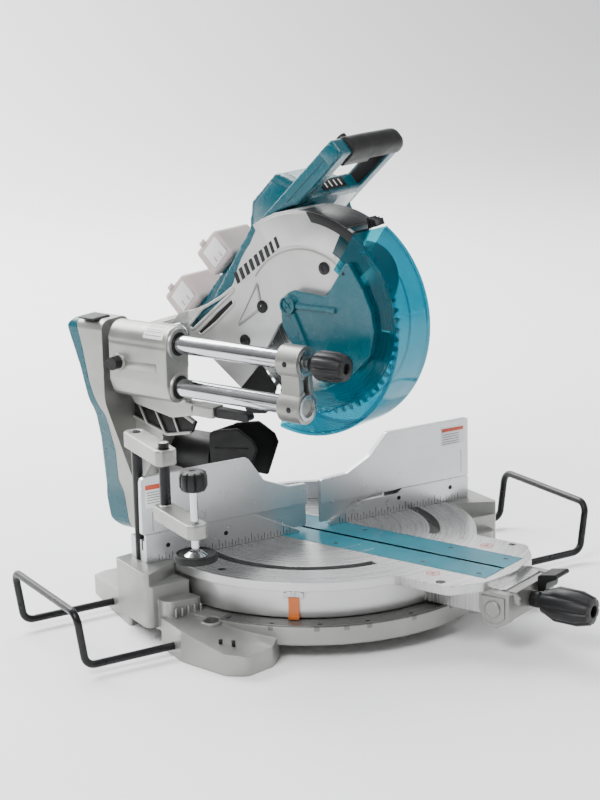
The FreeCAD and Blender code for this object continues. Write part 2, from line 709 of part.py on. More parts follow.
def motor_housing():
    """Moulded shell: motor barrel, spine down the back and the block under the handle."""
    spine = slab("yz", [(87, 578, 6), (130, 535, 8), (134, 499, 12), (221, 367, 8), (206, 352, 8),
                        (100, 424, 20),
                        (60, 470, 20), (30, 506, 16), (34, 560, 16)], 44, 66)
    block = slab("yz", [(98, 575, 6), (141, 530, 8), (145, 494, 12), (180, 440, 8), (96, 396, 20),
                        (30, 400, 8), (20, 450, 8), (30, 506, 20), (44, 560, 16)], 60, 150)
    barrel = rod(50, 66.8, MOTOR_Y, MOTOR_Z, "x", 104)
    barrel = soften(barrel, 8, lambda e: e.BoundBox.XMin > 168)
    rail = slab("yz", [(150, 486), (186, 454), (224, 416), (249, 384), (287, 346), (279, 340), (214, 398),
                       (168, 436), (140, 440)], 84, 132)
    body = join(spine, block, barrel, rail)
    holes = [battery_room(0), battery_room(1)]
    holes += [rod(45.2, 72, MOTOR_Y, MOTOR_Z, "x", 92), rod(12, 60, MOTOR_Y, MOTOR_Z, "x", 20)]
    holes.append(rod(42.4, 30, BLADE_Y, BLADE_Z, "x", 36.6))
    holes.append(rod(26.4, 30, MOTOR_Y, MOTOR_Z, "x", 36.6))
    for hole in holes:
        body = body.cut(hole)
    return body


def battery_room(index):
    """The pocket that a battery pack slides out of, with a little clearance."""
    y, z = BATTERY_AT[index]
    outline = [(y - 36 - GAP, z + 2), (y - 2, z + 34 + GAP), (y + 34 + GAP, z - 4), (y + 2, z - 36 - GAP)]
    return slab("yz", outline, 70 - GAP, 152)


def motor_stator():
    return tube(45.1, 27, 84, MOTOR_Y, MOTOR_Z, "x", 44)


def gear_teeth(r_root, r_tip, count, phase):
    """Outline of a plain straight-sided spur gear."""
    points = []
    pitch = 2 * math.pi / count
    for i in range(count):
        a = phase + i * pitch
        for share, r in ((-0.30, r_root), (-0.13, r_tip), (0.13, r_tip), (0.30, r_root)):
            points.append((r * math.cos(a + share * pitch), r * math.sin(a + share * pitch)))
    return points


def rotor():
    """Motor shaft with rotor, fan and pinion."""
    y = MOTOR_Y
    z = MOTOR_Z
    mesh_angle = GEAR_ANGLE + 180 + 180 / PINION_TEETH
    pinion = [(y + u, z + v) for u, v in gear_teeth(6.6, 9.0, PINION_TEETH, math.radians(mesh_angle))]
    return join(rod(5, 40, y, z, "x", 118), rod(26, 86, y, z, "x", 40), rod(40, 134, y, z, "x", 3),
                slab("yz", pinion, 42, 56))


def spindle():
    """Blade spindle with its driven gear."""
    y = BLADE_Y
    z = BLADE_Z
    wheel = [(y + u, z + v) for u, v in gear_teeth(32.0, 34.4, WHEEL_TEETH, math.radians(GEAR_ANGLE))]
    return join(rod(10, -12, y, z, "x", 76), slab("yz", wheel, 43, 55))


def head_spring():
    """Coil spring round the head's pivot, between the near cheek and the knuckle."""
    pitch = 4.6
    turns = 5.5
    path = Part.makeHelix(pitch, pitch * turns, 15)
    profile = Part.Wire(Part.makeCircle(1.7, V(15, 0, 0), V(0, 1, 0)))
    coil = path.makePipeShell([profile], True, True)
    coil.rotate(V(0, 0, 0), V(0, 1, 0), 90)
    coil.translate(V(-41, PIVOT_Y, PIVOT_Z))
    return coil


def saw_blade():
    """Round blade with square-ground teeth and expansion slots."""
    points = []
    pitch = 2 * math.pi / TEETH
    for i in range(TEETH):
        a = i * pitch
        for share, r in ((0.0, BLADE_R), (0.32, BLADE_R - 1.6), (0.46, BLADE_R - 8), (0.9, BLADE_R - 8.5)):
            b = a + share * pitch
            points.append((BLADE_Y + r * math.cos(b), BLADE_Z + r * math.sin(b)))
    disc = slab("yz", points, -1.15, 1.15)
    disc = disc.cut(rod(10, -5, BLADE_Y, BLADE_Z, "x", 10))
    for i in range(4):
        slot = box(-2, 2, BLADE_Y - 0.5, BLADE_Y + 0.5, BLADE_Z + 100, BLADE_Z + 124)
        slot.rotate(V(0, BLADE_Y, BLADE_Z), V(1, 0, 0), 90 * i + 3)
        disc = disc.cut(slot)
    return disc


def blade_flanges():
    flanges = []
    for x0, x1 in ((-7.15, -1.15), (1.15, 7.15)):
        flange = rod(26, x0, BLADE_Y, BLADE_Z, "x", x1 - x0).cut(rod(10, x0 - 1, BLADE_Y, BLADE_Z, "x", 10))
        flanges.append(flange)
    return group(flanges)


def arbor_bolt():
    washer = rod(13, -15, BLADE_Y, BLADE_Z, "x", 3)
    angles = [math.pi * i / 3 for i in range(6)]
    corners = [(BLADE_Y + 9 * math.cos(a), BLADE_Z + 9 * math.sin(a)) for a in angles]
    return join(washer, slab("yz", corners, -21, -15))


def lower_guard():
    """Clear guard: two plates and a wide rim that turn round the blade axis."""
    centre = (BLADE_Y, BLADE_Z)
    start = 124
    end = 286
    plates = [sector("yz", centre, 92, 152, start, end, -37, -34.2)]
    plates.append(sector("yz", centre, 92, 152, start, end, 34.2, 37))
    rim = sector("yz", centre, 150.2, 152.6, start, end, -37, 37)
    spoke = sector("yz", centre, 24, 93, 172, 222, -37, -34.2)
    hub = tube(30, 20, -37, BLADE_Y, BLADE_Z, "x", 2.8)
    return join(*plates, rim, spoke, hub)


def dust_guide():
    """Black deflector under the case behind the blade."""
    return slab("yz", [(100, 286, 4), (60, 330, 4), (34, 300, 4), (52, 262, 4), (84, 258, 4)], -36, -32.1)


def handle_path(t):
    """Point of the handle's centre line at distance t back from the grip, as (y, z)."""
    angle = math.radians(HANDLE_SLOPE)
    return HANDLE_Y + t * math.cos(angle), HANDLE_Z - t * math.sin(angle)


def handle_section(t0, t1, half, x0, x1):
    """A bar along the handle's slope, between two distances from the grip."""
    angle = math.radians(HANDLE_SLOPE)
    dy = math.sin(angle) * half
    dz = math.cos(angle) * half
    y0, z0 = handle_path(t0)
    y1, z1 = handle_path(t1)
    corners = [(y0 - dy, z0 - dz, 4), (y0 + dy, z0 + dz, 4), (y1 + dy, z1 + dz), (y1 - dy, z1 - dz)]
    return slab("yz", corners, x0, x1)


def handle_frame():
    """Two side bars from the housing to the grip, joined by a root and a cross bar."""
    left = handle_section(-8, 158, 13, -4, 20)
    right = handle_section(2, 134, 13, 128, 148)
    cross = handle_section(84, 134, 13, 19, 129)
    root = handle_section(118, 158, 14, 19, 62)
    guard_room = rod(154, -60, BLADE_Y, BLADE_Z, "x", 102)
    body = join(left, right, cross, root).cut(guard_room)
    return body.cut(motor_housing())


def handle_grip():
    """Rubber grip with a pocket for the trigger and a hole for the lock-off button."""
    grip = soften(handle_section(-14, 22, 15, 20.2, 127.8), 7, lambda e: e.Length > 80)
    pocket = handle_section(13, 30, 8.6, 38.6, 97.4)
    return grip.cut(pocket).cut(button_rod(7.1, 8, 20))


def trigger():
    return soften(handle_section(20, 33, 8, 40, 96), 3, lambda e: e.Length > 50)


def button_rod(r, low, high):
    """A round rod across the grip, between two heights over its centre line."""
    y, z = handle_path(2)
    dy = math.sin(math.radians(HANDLE_SLOPE))
    dz = math.cos(math.radians(HANDLE_SLOPE))
    return Part.makeCylinder(r, high - low, V(34, y + low * dy, z + low * dz), V(0, dy, dz))


def lock_off_button():
    return button_rod(7, 11.5, 20)


def battery(index):
    """A battery pack that slides on behind the housing."""
    y, z = BATTERY_AT[index]
    outline = [(y - 36, z + 2, 5), (y - 2, z + 34, 6), (y + 34, z - 4, 6), (y + 2, z - 36, 5)]
    return soften(slab("yz", outline, 70, 146), 4, side_edges(70))


# ---------------------------------------------------------------- vise, in the base frame
def vise_post():
    return rod(7, POST_X, POST_Y, 41, "z", 228)


def vise_arm_shape(start, end, z0, z1, r):
    """A flat arm with rounded ends between two upright axes."""
    run = V(end[0] - start[0], end[1] - start[1], 0).normalize()
    side = V(run.y, -run.x, 0)
    corners = []
    for centre, along in ((start, -1), (end, 1)):
        middle = V(centre[0], centre[1], 0)
        for across, reach in ((-1, 0.5), (-0.6, 1), (0.6, 1), (1, 0.5)):
            corner = middle + run * (along * r * reach) + side * (-along * across * r)
            corners.append((corner.x, corner.y, 5))
    return slab("xy", corners, z0, z1)


def vise_upper_arm():
    body = vise_arm_shape((POST_X, POST_Y), (DROP_X, DROP_Y), 250, 271, 14.5)
    return body.cut(rod(7.05, POST_X, POST_Y, 240, "z", 60)).cut(rod(7.25, DROP_X, DROP_Y, 240, "z", 60))


def vise_drop_arm():
    body = vise_arm_shape((DROP_X, DROP_Y), (SCREW_X, SCREW_Y), 176, 195, 14)
    return join(body.cut(rod(5.05, SCREW_X, SCREW_Y, 160, "z", 60)), rod(7, DROP_X, DROP_Y, 194, "z", 85))


def vise_screw():
    return rod(5, SCREW_X, SCREW_Y, 158, "z", 78)


def vise_knob():
    return lobed_knob(18, 10, SCREW_X, SCREW_Y, 236, "z", 26)


def vise_pad():
    """Rubber-ringed foot of the vise screw."""
    ring = tube(27, 15, SCREW_X, SCREW_Y, 147, "z", 7)
    dome = cone(16, 7.5, SCREW_X, SCREW_Y, 149, "z", 8.8)
    return join(ring, dome)


def thumb_screws():
    """Clamp screws of the two work holders."""
    screws = []
    for side in (-1, 1):
        x = side * SCREWS_X
        screws.append(join(rod(4, x, HOLDER_BACK, 19.3, "z", 22), rod(11, x, HOLDER_BACK, 38, "z", 13)))
    return group(screws)


# ---------------------------------------------------------------- build
def build():
    save("base_casting", base_casting())
    save("guide_fence", guide_fence())
    save("fence_bolts", fence_bolts())
    save("mitre_scale", mitre_scale())
    save("pivot_bolt", pivot_bolt())
    save("left_sub_fence", left_sub_fence())
    save("right_sub_fence", right_sub_fence())
    save("left_holder", work_holder(-1))
    save("right_holder", work_holder(1))
    for maker in (turntable, kerf_boards, mitre_pointer, pointer_clip, lock_bracket, mitre_grip, grip_spindle,
                  release_lever, arm_housing, arm_cover, bevel_shaft, pole_bracket, bevel_scale,
                  dust_duct, dust_hood, bevel_knob, bevel_rod, carriage, pole_bushes, pivot_pin, slide_lock,
                  stop_pin, blade_case, centre_cover, case_bolts, gear_case, motor_housing,
                  motor_stator, rotor,
                  spindle, head_spring, saw_blade, blade_flanges, arbor_bolt, lower_guard, dust_guide,
                  handle_frame, handle_grip, trigger, lock_off_button):
        save(maker.__name__, maker(), turned=True)
    save("pole_upper", slide_pole(POLE_HIGH), turned=True)
    save("pole_lower", slide_pole(POLE_LOW), turned=True)
    save("battery_upper", battery(0), turned=True)
    save("battery_lower", battery(1), turned=True)
    for maker in (vise_post, vise_upper_arm, vise_drop_arm, vise_screw, vise_knob, vise_pad, thumb_screws):
        save(maker.__name__, maker())


build()
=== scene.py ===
import json
import math

import bmesh
import bpy
from mathutils import Matrix, Vector


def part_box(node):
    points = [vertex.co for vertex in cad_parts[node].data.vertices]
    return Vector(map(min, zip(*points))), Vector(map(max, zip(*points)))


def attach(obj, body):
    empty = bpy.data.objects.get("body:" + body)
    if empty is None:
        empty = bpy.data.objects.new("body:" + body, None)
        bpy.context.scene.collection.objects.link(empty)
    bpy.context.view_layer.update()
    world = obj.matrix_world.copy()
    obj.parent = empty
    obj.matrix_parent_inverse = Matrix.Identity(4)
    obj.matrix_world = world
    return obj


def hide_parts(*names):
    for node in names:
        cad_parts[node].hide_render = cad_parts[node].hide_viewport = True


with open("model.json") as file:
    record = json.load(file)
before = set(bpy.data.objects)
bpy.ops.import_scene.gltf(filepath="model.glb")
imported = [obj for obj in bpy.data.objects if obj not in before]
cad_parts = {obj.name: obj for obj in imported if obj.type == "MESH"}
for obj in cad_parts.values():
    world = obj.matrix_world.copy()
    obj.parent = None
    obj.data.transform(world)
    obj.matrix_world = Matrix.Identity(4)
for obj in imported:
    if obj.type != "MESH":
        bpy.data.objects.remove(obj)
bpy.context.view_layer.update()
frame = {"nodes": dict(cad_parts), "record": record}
nodes = frame["nodes"]

MM = 0.001
MITRE = math.radians(22.5)      # the turntable's angle in the rest pose
TABLE = 97.0                    # height of the table
POLE_X = -100.0                 # the two slide poles
UPPER_POLE = 360.0
LOWER_POLE = 300.0
BLADE = (-15.0, 395.0)          # blade axis in the turn frame, (y, z) in millimetres
CASE_X = -32.0                  # outer face of the blade case's left plate
SLOPE = math.radians(43.5)      # fall of the handle to the rear


# ---------------------------------------------------------------- places
def base_point(x, y, z):
    """A point of the base frame, millimetres to metres."""
    return Vector((x, y, z)) * MM


def turn_point(x, y, z):
    """A point of the turn frame, whose -Y is the way the saw's arm points."""
    c = math.cos(MITRE)
    s = math.sin(MITRE)
    return Vector((x * c - y * s, x * s + y * c, z)) * MM


def handle_point(x, t, n):
    """A point by the handle: t back along its slope from the grip, n above its centre line."""
    y = -46.0 + t * math.cos(SLOPE) + n * math.sin(SLOPE)
    z = 622.0 - t * math.sin(SLOPE) + n * math.cos(SLOPE)
    return turn_point(x, y, z)


def on_side(x, point=turn_point):
    """Places (y, z) outlines on planes of constant x, with a level measured towards -x."""
    return lambda u, v, level: point(x - level, u, v)


def on_front(y, point=base_point):
    """Places (x, z) outlines on planes of constant y, with a level measured towards -y."""
    return lambda u, v, level: point(u, y - level, v)


def on_top(z, point=base_point):
    return lambda u, v, level: point(u, v, z + level)


# ---------------------------------------------------------------- materials
class Finish:
    """A node material under construction."""

    def __init__(self, name):
        self.material = bpy.data.materials.new(name)
        self.material.use_nodes = True
        self.tree = self.material.node_tree
        self.shader = self.tree.nodes["Principled BSDF"]
        self.coords = self.node("ShaderNodeTexCoord").outputs["Object"]

    def node(self, kind, **values):
        made = self.tree.nodes.new(kind)
        for key, value in values.items():
            setattr(made, key, value)
        return made

    def link(self, a, b):
        self.tree.links.new(a, b)

    def noise(self, scale, detail=3.0, stretch=(1, 1, 1), centre=(0, 0, 0)):
        mapping = self.node("ShaderNodeMapping")
        mapping.inputs["Scale"].default_value = stretch
        mapping.inputs["Location"].default_value = [-c * s for c, s in zip(centre, stretch)]
        noise = self.node("ShaderNodeTexNoise")
        noise.inputs["Scale"].default_value = scale
        noise.inputs["Detail"].default_value = detail
        self.link(self.coords, mapping.inputs["Vector"])
        self.link(mapping.outputs["Vector"], noise.inputs["Vector"])
        return noise.outputs["Fac"]

    def spread(self, value, low, high):
        """A noise value mapped to a range."""
        spread = self.node("ShaderNodeMapRange")
        spread.inputs["From Min"].default_value = 0.3
        spread.inputs["From Max"].default_value = 0.7
        spread.inputs["To Min"].default_value = low
        spread.inputs["To Max"].default_value = high
        self.link(value, spread.inputs["Value"])
        return spread.outputs["Result"]

    def tint(self, value, dark, light):
        """The base colour goes from dark to light with a value."""
        ramp = self.node("ShaderNodeValToRGB")
        ramp.color_ramp.elements[0].position = 0.3
        ramp.color_ramp.elements[0].color = (*dark, 1)
        ramp.color_ramp.elements[1].position = 0.7
        ramp.color_ramp.elements[1].color = (*light, 1)
        self.link(value, ramp.inputs["Fac"])
        self.link(ramp.outputs["Color"], self.shader.inputs["Base Color"])

    def relief(self, value, strength, depth, edge):
        """Small surface relief over edges that look rounded."""
        bevel = self.node("ShaderNodeBevel", samples=4)
        bevel.inputs["Radius"].default_value = edge
        bump = self.node("ShaderNodeBump")
        bump.inputs["Strength"].default_value = strength
        bump.inputs["Distance"].default_value = depth
        self.link(bevel.outputs["Normal"], bump.inputs["Normal"])
        self.link(value, bump.inputs["Height"])
        self.link(bump.outputs["Normal"], self.shader.inputs["Normal"])


def plain_finish(name, dark, light, metal, rough, grain=900.0, strength=0.15, edge=0.0012,
                 stretch=(1, 1, 1)):
    """Painted, cast or moulded surface: clouded colour, uneven sheen and a fine grain."""
    finish = Finish(name)
    cloud = finish.noise(14.0)
    fine = finish.noise(grain, 2.0, stretch)
    finish.tint(cloud, dark, light)
    finish.link(finish.spread(finish.noise(55.0), rough[0], rough[1]), finish.shader.inputs["Roughness"])
    finish.relief(fine, strength, 0.0004, edge)
    finish.shader.inputs["Metallic"].default_value = metal
    return finish.material


def dull(material, level):
    """Lower the mirror-like part of a dark moulding."""
    material.node_tree.nodes["Principled BSDF"].inputs["Specular IOR Level"].default_value = level


def ring_finish(name, dark, light, centre, plane, rings, rough):
    """Metal turned about an axis: fine concentric marks."""
    finish = Finish(name)
    split = finish.node("ShaderNodeSeparateXYZ")
    shift = finish.node("ShaderNodeVectorMath", operation="SUBTRACT")
    shift.inputs[1].default_value = centre
    flat = finish.node("ShaderNodeVectorMath", operation="MULTIPLY")
    flat.inputs[1].default_value = plane
    length = finish.node("ShaderNodeVectorMath", operation="LENGTH")
    finish.link(finish.coords, shift.inputs[0])
    finish.link(shift.outputs[0], flat.inputs[0])
    finish.link(flat.outputs[0], length.inputs[0])
    finish.link(flat.outputs[0], split.inputs[0])
    noise = finish.node("ShaderNodeTexNoise", noise_dimensions="1D")
    noise.inputs["Scale"].default_value = rings
    noise.inputs["Detail"].default_value = 4.0
    finish.link(length.outputs["Value"], noise.inputs["W"])
    finish.tint(noise.outputs["Fac"], dark, light)
    finish.link(finish.spread(noise.outputs["Fac"], rough[0], rough[1]), finish.shader.inputs["Roughness"])
    finish.relief(noise.outputs["Fac"], 0.01, 0.0001, 0.0012)
    finish.shader.inputs["Metallic"].default_value = 0.9
    finish.shader.inputs["Anisotropic"].default_value = 0.5
    return finish.material


def clear_finish(name, colour, body, tone):
    """Tinted clear plastic with faint moulding flow marks."""
    finish = Finish(name)
    flow = finish.noise(22.0, 4.0, (1, 1, 0.4))
    finish.tint(flow, tuple(0.82 * c for c in colour), colour)
    finish.relief(finish.noise(40.0), 0.05, 0.0004, 0.001)
    finish.shader.inputs["Roughness"].default_value = 0.12
    finish.shader.inputs["Coat Weight"].default_value = 0.4
    glass = finish.node("ShaderNodeBsdfTransparent")
    glass.inputs["Color"].default_value = (*tone, 1)
    mix = finish.node("ShaderNodeMixShader")
    edge = finish.node("ShaderNodeLayerWeight")
    edge.inputs["Blend"].default_value = 0.35
    share = finish.node("ShaderNodeMapRange")
    share.inputs["To Min"].default_value = body[0]
    share.inputs["To Max"].default_value = body[1]
    finish.link(edge.outputs["Facing"], share.inputs["Value"])
    finish.link(share.outputs["Result"], mix.inputs["Fac"])
    finish.link(glass.outputs["BSDF"], mix.inputs[1])
    finish.link(finish.shader.outputs["BSDF"], mix.inputs[2])
    finish.link(mix.outputs["Shader"], finish.tree.nodes["Material Output"].inputs["Surface"])
    return finish.material


BLADE_CENTRE = tuple(turn_point(0, BLADE[0], BLADE[1]))
silver = plain_finish("silver_paint", (0.30, 0.30, 0.285), (0.37, 0.37, 0.35), 0.7, (0.30, 0.42))
pale_silver = plain_finish("case_paint", (0.46, 0.46, 0.455), (0.54, 0.54, 0.535), 0.6, (0.28, 0.38))
cast = plain_finish("cast_alloy", (0.28, 0.285, 0.27), (0.36, 0.365, 0.35), 0.75, (0.34, 0.46), 600.0, 0.3,
                    0.002)
fence = plain_finish("fence_alloy", (0.50, 0.51, 0.52), (0.55, 0.56, 0.57), 0.85, (0.27, 0.30), 350.0, 0.02,
                     0.001, (0.1, 1, 1))
table = ring_finish("table_alloy", (0.49, 0.49, 0.49), (0.53, 0.53, 0.53), (0, 0, 0), (1, 1, 0), 240.0,
                    (0.25, 0.30))
steel = plain_finish("brushed_steel", (0.36, 0.37, 0.38), (0.48, 0.49, 0.50), 0.95, (0.22, 0.34), 700.0,
                     0.1)
chrome = plain_finish("polished_steel", (0.50, 0.51, 0.53), (0.60, 0.61, 0.63), 1.0, (0.10, 0.18), 500.0,
                      0.03, 0.0006)
blade_steel = ring_finish("blade_steel", (0.40, 0.41, 0.42), (0.44, 0.45, 0.46), BLADE_CENTRE, (1, 1, 1),
                          600.0, (0.24, 0.28))
scale = plain_finish("scale_plate", (0.16, 0.16, 0.155), (0.22, 0.22, 0.21), 0.7, (0.3, 0.42))
black_steel = plain_finish("black_steel", (0.006, 0.006, 0.007), (0.014, 0.014, 0.015), 0.2, (0.25, 0.38),
                           500.0, 0.1)
black = plain_finish("black_plastic", (0.004, 0.004, 0.0045), (0.012, 0.012, 0.013), 0.0, (0.36, 0.5),
                     1200.0, 0.3)
rubber = plain_finish("black_rubber", (0.004, 0.004, 0.004), (0.012, 0.012, 0.0125), 0.0, (0.5, 0.66),
                      800.0, 0.25, 0.003)
teal = plain_finish("teal_plastic", (0.0, 0.070, 0.095), (0.0005, 0.082, 0.112), 0.0, (0.22, 0.34), 1000.0,
                    0.1, 0.003)
board = plain_finish("teal_board", (0.003, 0.16, 0.22), (0.01, 0.21, 0.28), 0.0, (0.14, 0.22), 700.0, 0.06)
pack = plain_finish("pack_plastic", (0.46, 0.38, 0.37), (0.55, 0.47, 0.46), 0.0, (0.4, 0.55), 900.0, 0.2,
                    0.003)
pack_pale = plain_finish("pack_panel", (0.72, 0.70, 0.70), (0.80, 0.78, 0.78), 0.0, (0.4, 0.55), 900.0, 0.1)
copper = plain_finish("copper", (0.40, 0.20, 0.09), (0.55, 0.30, 0.15), 0.8, (0.3, 0.45), 300.0, 0.4)
ink = plain_finish("ink", (0.008, 0.008, 0.009), (0.02, 0.02, 0.022), 0.0, (0.4, 0.55), 900.0, 0.05, 0.0002)
paper = plain_finish("label_white", (0.70, 0.70, 0.71), (0.80, 0.80, 0.81), 0.0, (0.3, 0.42), 900.0, 0.05,
                     0.0003)
red = plain_finish("label_red", (0.50, 0.05, 0.02), (0.60, 0.08, 0.03), 0.0, (0.35, 0.5), 900.0, 0.05,
                   0.0003)
guard_clear = clear_finish("clear_teal", (0.0, 0.12, 0.165), (0.16, 0.66), (0.22, 0.74, 0.82))
guard_dark = clear_finish("smoked_teal", (0.004, 0.04, 0.05), (0.6, 0.9), (0.05, 0.16, 0.18))
orange = clear_finish("clear_orange", (0.75, 0.20, 0.02), (0.6, 0.95), (0.95, 0.45, 0.12))

for dark in (black, rubber, black_steel, ink):
    dull(dark, 0.3)

SLOT_FINISH = {
    "cast_alloy": cast, "silver_paint": silver, "fence_alloy": fence, "table_alloy": table, "steel": steel,
    "chromed": chrome, "scale_plate": scale, "black_steel": black_steel, "teal_plastic": teal,
    "teal_board": board, "clear_teal": guard_clear, "orange_clear": orange, "black_plastic": black,
    "black_rubber": rubber, "pack_plastic": pack, "copper": copper,
}
NODE_FINISH = {"saw_blade": blade_steel, "blade_case": pale_silver}


def dress_nodes():
    """Every CAD node that is shown gets its finish."""
    slots = {part["node"]: part["material_slot"] for part in frame["record"]["subparts"]}
    for name, obj in nodes.items():
        finish = NODE_FINISH.get(name, SLOT_FINISH[slots[name]])
        for material_slot in obj.material_slots:
            material_slot.material = finish


def round_mouldings():
    """Soften the outlines of the moulded nodes."""
    for name, grain, passes in (("handle_frame", 0.0018, 9), ("motor_housing", 0.0024, 6),
                                ("battery_upper", 0.0018, 8), ("battery_lower", 0.0018, 8),
                                ("carriage", 0.0016, 3), ("vise_upper_arm", 0.0012, 4),
                                ("vise_drop_arm", 0.0012, 3), ("dust_hood", 0.0012, 4)):
        remesh = nodes[name].modifiers.new("mould", "REMESH")
        remesh.mode = "VOXEL"
        remesh.voxel_size = grain
        remesh.use_smooth_shade = True
        soften = nodes[name].modifiers.new("soften", "SMOOTH")
        soften.factor = 0.5
        soften.iterations = passes


# ---------------------------------------------------------------- pieces
def finish_mesh(name, mesh, material, body, bevel=0.0):
    """Turn a bmesh into a piece that rides on a body; bevel in millimetres."""
    data = bpy.data.meshes.new(name)
    bmesh.ops.remove_doubles(mesh, verts=mesh.verts, dist=1e-6)
    bmesh.ops.recalc_face_normals(mesh, faces=mesh.faces)
    mesh.to_mesh(data)
    mesh.free()
    piece = bpy.data.objects.new(name, data)
    bpy.context.scene.collection.objects.link(piece)
    data.materials.append(material)
    if bevel:
        rounding = piece.modifiers.new("rounding", "BEVEL")
        rounding.width = bevel * MM
        rounding.segments = 3
        rounding.limit_method = "ANGLE"
        rounding.angle_limit = math.radians(35)
    for polygon in data.polygons:
        polygon.use_smooth = True
    sharp = piece.modifiers.new("edges", "EDGE_SPLIT")
    sharp.split_angle = math.radians(32)
    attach(piece, body)
    return piece


def add_prism(mesh, place, outline, low, high):
    """An outline of (u, v) points given thickness, added to a mesh."""
    bottom = [mesh.verts.new(place(u, v, low)) for u, v in outline]
    top = [mesh.verts.new(place(u, v, high)) for u, v in outline]
    count = len(outline)
    mesh.faces.new(bottom)
    mesh.faces.new(list(reversed(top)))
    for i in range(count):
        j = (i + 1) % count
        mesh.faces.new((bottom[i], top[i], top[j], bottom[j]))


def prism(name, place, outline, low, high, material, body, bevel=0.3):
    mesh = bmesh.new()
    add_prism(mesh, place, outline, low, high)
    return finish_mesh(name, mesh, material, body, bevel)


def prisms(name, place, outlines, low, high, material, body, bevel=0.0):
    """Several outlines as one piece."""
    mesh = bmesh.new()
    for outline in outlines:
        add_prism(mesh, place, outline, low, high)
    return finish_mesh(name, mesh, material, body, bevel)


def arc(centre, r, start, end, count):
    """Points along an arc; angles in degrees."""
    points = []
    for i in range(count + 1):
        a = math.radians(start + (end - start) * i / count)
        points.append((centre[0] + r * math.cos(a), centre[1] + r * math.sin(a)))
    return points


def band(centre, inner, outer, start, end, count=24):
    return arc(centre, outer, start, end, count) + list(reversed(arc(centre, inner, start, end, count)))


def strip(a, b, width):
    """A rectangle along the line between two points."""
    run = (Vector(b) - Vector(a)).normalized()
    side = Vector((-run.y, run.x)) * width / 2
    corners = (Vector(a) + side, Vector(b) + side, Vector(b) - side, Vector(a) - side)
    return [tuple(c) for c in corners]


def circle(centre, r, count=24):
    return arc(centre, r, 0, 360 - 360 / count, count - 1)


def turned_solid(name, place, profile, steps, material, body, flutes=0, flute_depth=0.0):
    """A body of revolution; place(radius, angle, height) gives its points, and a profile point
    says whether the flutes cut it."""
    mesh = bmesh.new()
    rings = []
    for r, h, fluted in profile:
        ring = []
        for i in range(steps):
            a = 2 * math.pi * i / steps
            dip = flute_depth * max(0.0, math.cos(flutes * a)) ** 3 if fluted else 0.0
            ring.append(mesh.verts.new(place(r - dip, a, h)))
        rings.append(ring)
    for lower, upper in zip(rings, rings[1:]):
        for i in range(steps):
            j = (i + 1) % steps
            mesh.faces.new((lower[i], lower[j], upper[j], upper[i]))
    mesh.faces.new(rings[0])
    mesh.faces.new(list(reversed(rings[-1])))
    return finish_mesh(name, mesh, material, body)


def about_y(x, z, point=turn_point):
    """Placing for bodies of revolution about a line along y; heights run along -y."""
    return lambda r, a, h: point(x + r * math.cos(a), -h, z + r * math.sin(a))


def about_z(x, y, point=base_point):
    return lambda r, a, h: point(x + r * math.cos(a), y + r * math.sin(a), h)


def about_x(y, z, point=turn_point):
    """Heights run along -x."""
    return lambda r, a, h: point(-h, y + r * math.cos(a), z + r * math.sin(a))


# ---------------------------------------------------------------- base and table
def ruler_ticks():
    """Ruler marks along the foot of the guide fence."""
    marks = []
    for x in range(-240, 245, 5):
        if abs(x) < 40:
            continue
        long = 9.0 if x % 50 == 0 else 6.5 if x % 10 == 0 else 4.0
        marks.append(strip((x, 98.5), (x, 98.5 + 1.3 * long), 0.75))
    prisms("fence_ruler", on_front(0), marks, 0.0, 0.12, ink, "base")


def mitre_marks():
    """Degree marks on the mitre scale, with a plain bar at each 15 degrees."""
    centre = (0, 0)
    marks = []
    for degree in range(-60, 61):
        a = math.radians(-90 + degree)
        reach = 9.0 if degree % 10 == 0 else 6.5 if degree % 5 == 0 else 4.0
        start = (221 * math.cos(a), 221 * math.sin(a))
        end = ((221 + reach) * math.cos(a), (221 + reach) * math.sin(a))
        marks.append(strip(start, end, 0.6))
    for degree in range(-60, 61, 15):
        marks.append(band(centre, 233.5, 237.5, -90 + degree - 0.7, -90 + degree + 0.7, 3))
    prisms("mitre_marks", on_top(46.6), marks, 0.0, 0.12, ink, "base")


def ring_notches():
    """Detent marks in the rim of the base ring."""
    notches = [band((0, 0), 241.6, 243.9, -90 + d - 0.8, -90 + d + 0.8, 3)
               for d in (-45, -31, -22, -15, 0, 15, 22, 31, 45)]
    prisms("ring_notches", on_top(40), notches, 0.0, 5.15, scale, "base", 0.2)


def base_bosses():
    """Bolt bosses, cast ribs and screws on the feet and wings."""
    for side, word in ((-1, "left"), (1, "right")):
        def place(r, a, h, side=side):
            return base_point(side * 221 + r * math.cos(a), -106 + r * math.sin(a), h)

        profile = [(14.5, 36.0, False), (14.5, 42.2, False), (13.4, 43.4, False), (10.4, 43.4, False),
                   (9.6, 42.2, False), (9.6, 36.0, False)]
        turned_ring(word + "_foot_boss", place, profile, cast, "base")
        ribs = [strip((side * (250 - 9 * i), -64.0), (side * (253 - 9 * i), -69.5), 3.0) for i in range(5)]
        prisms(word + "_wing_ribs", on_top(41), ribs, 0.0, 13.0, cast, "base", 1.2)
        screws = [circle((side * x, y), 2.6, 12) for x, y in ((238, -160), (226, -172))]
        prisms(word + "_foot_screws", on_top(30), screws, 0.0, 8.0, black_steel, "base", 0.2)


def turned_ring(name, place, profile, material, body, steps=40):
    """A ring of revolution with a closed section."""
    mesh = bmesh.new()
    loops = []
    for r, h, _ in profile:
        loops.append([mesh.verts.new(place(r, 2 * math.pi * i / steps, h)) for i in range(steps)])
    for k, lower in enumerate(loops):
        upper = loops[(k + 1) % len(loops)]
        for i in range(steps):
            j = (i + 1) % steps
            mesh.faces.new((lower[i], lower[j], upper[j], upper[i]))
    return finish_mesh(name, mesh, material, body)


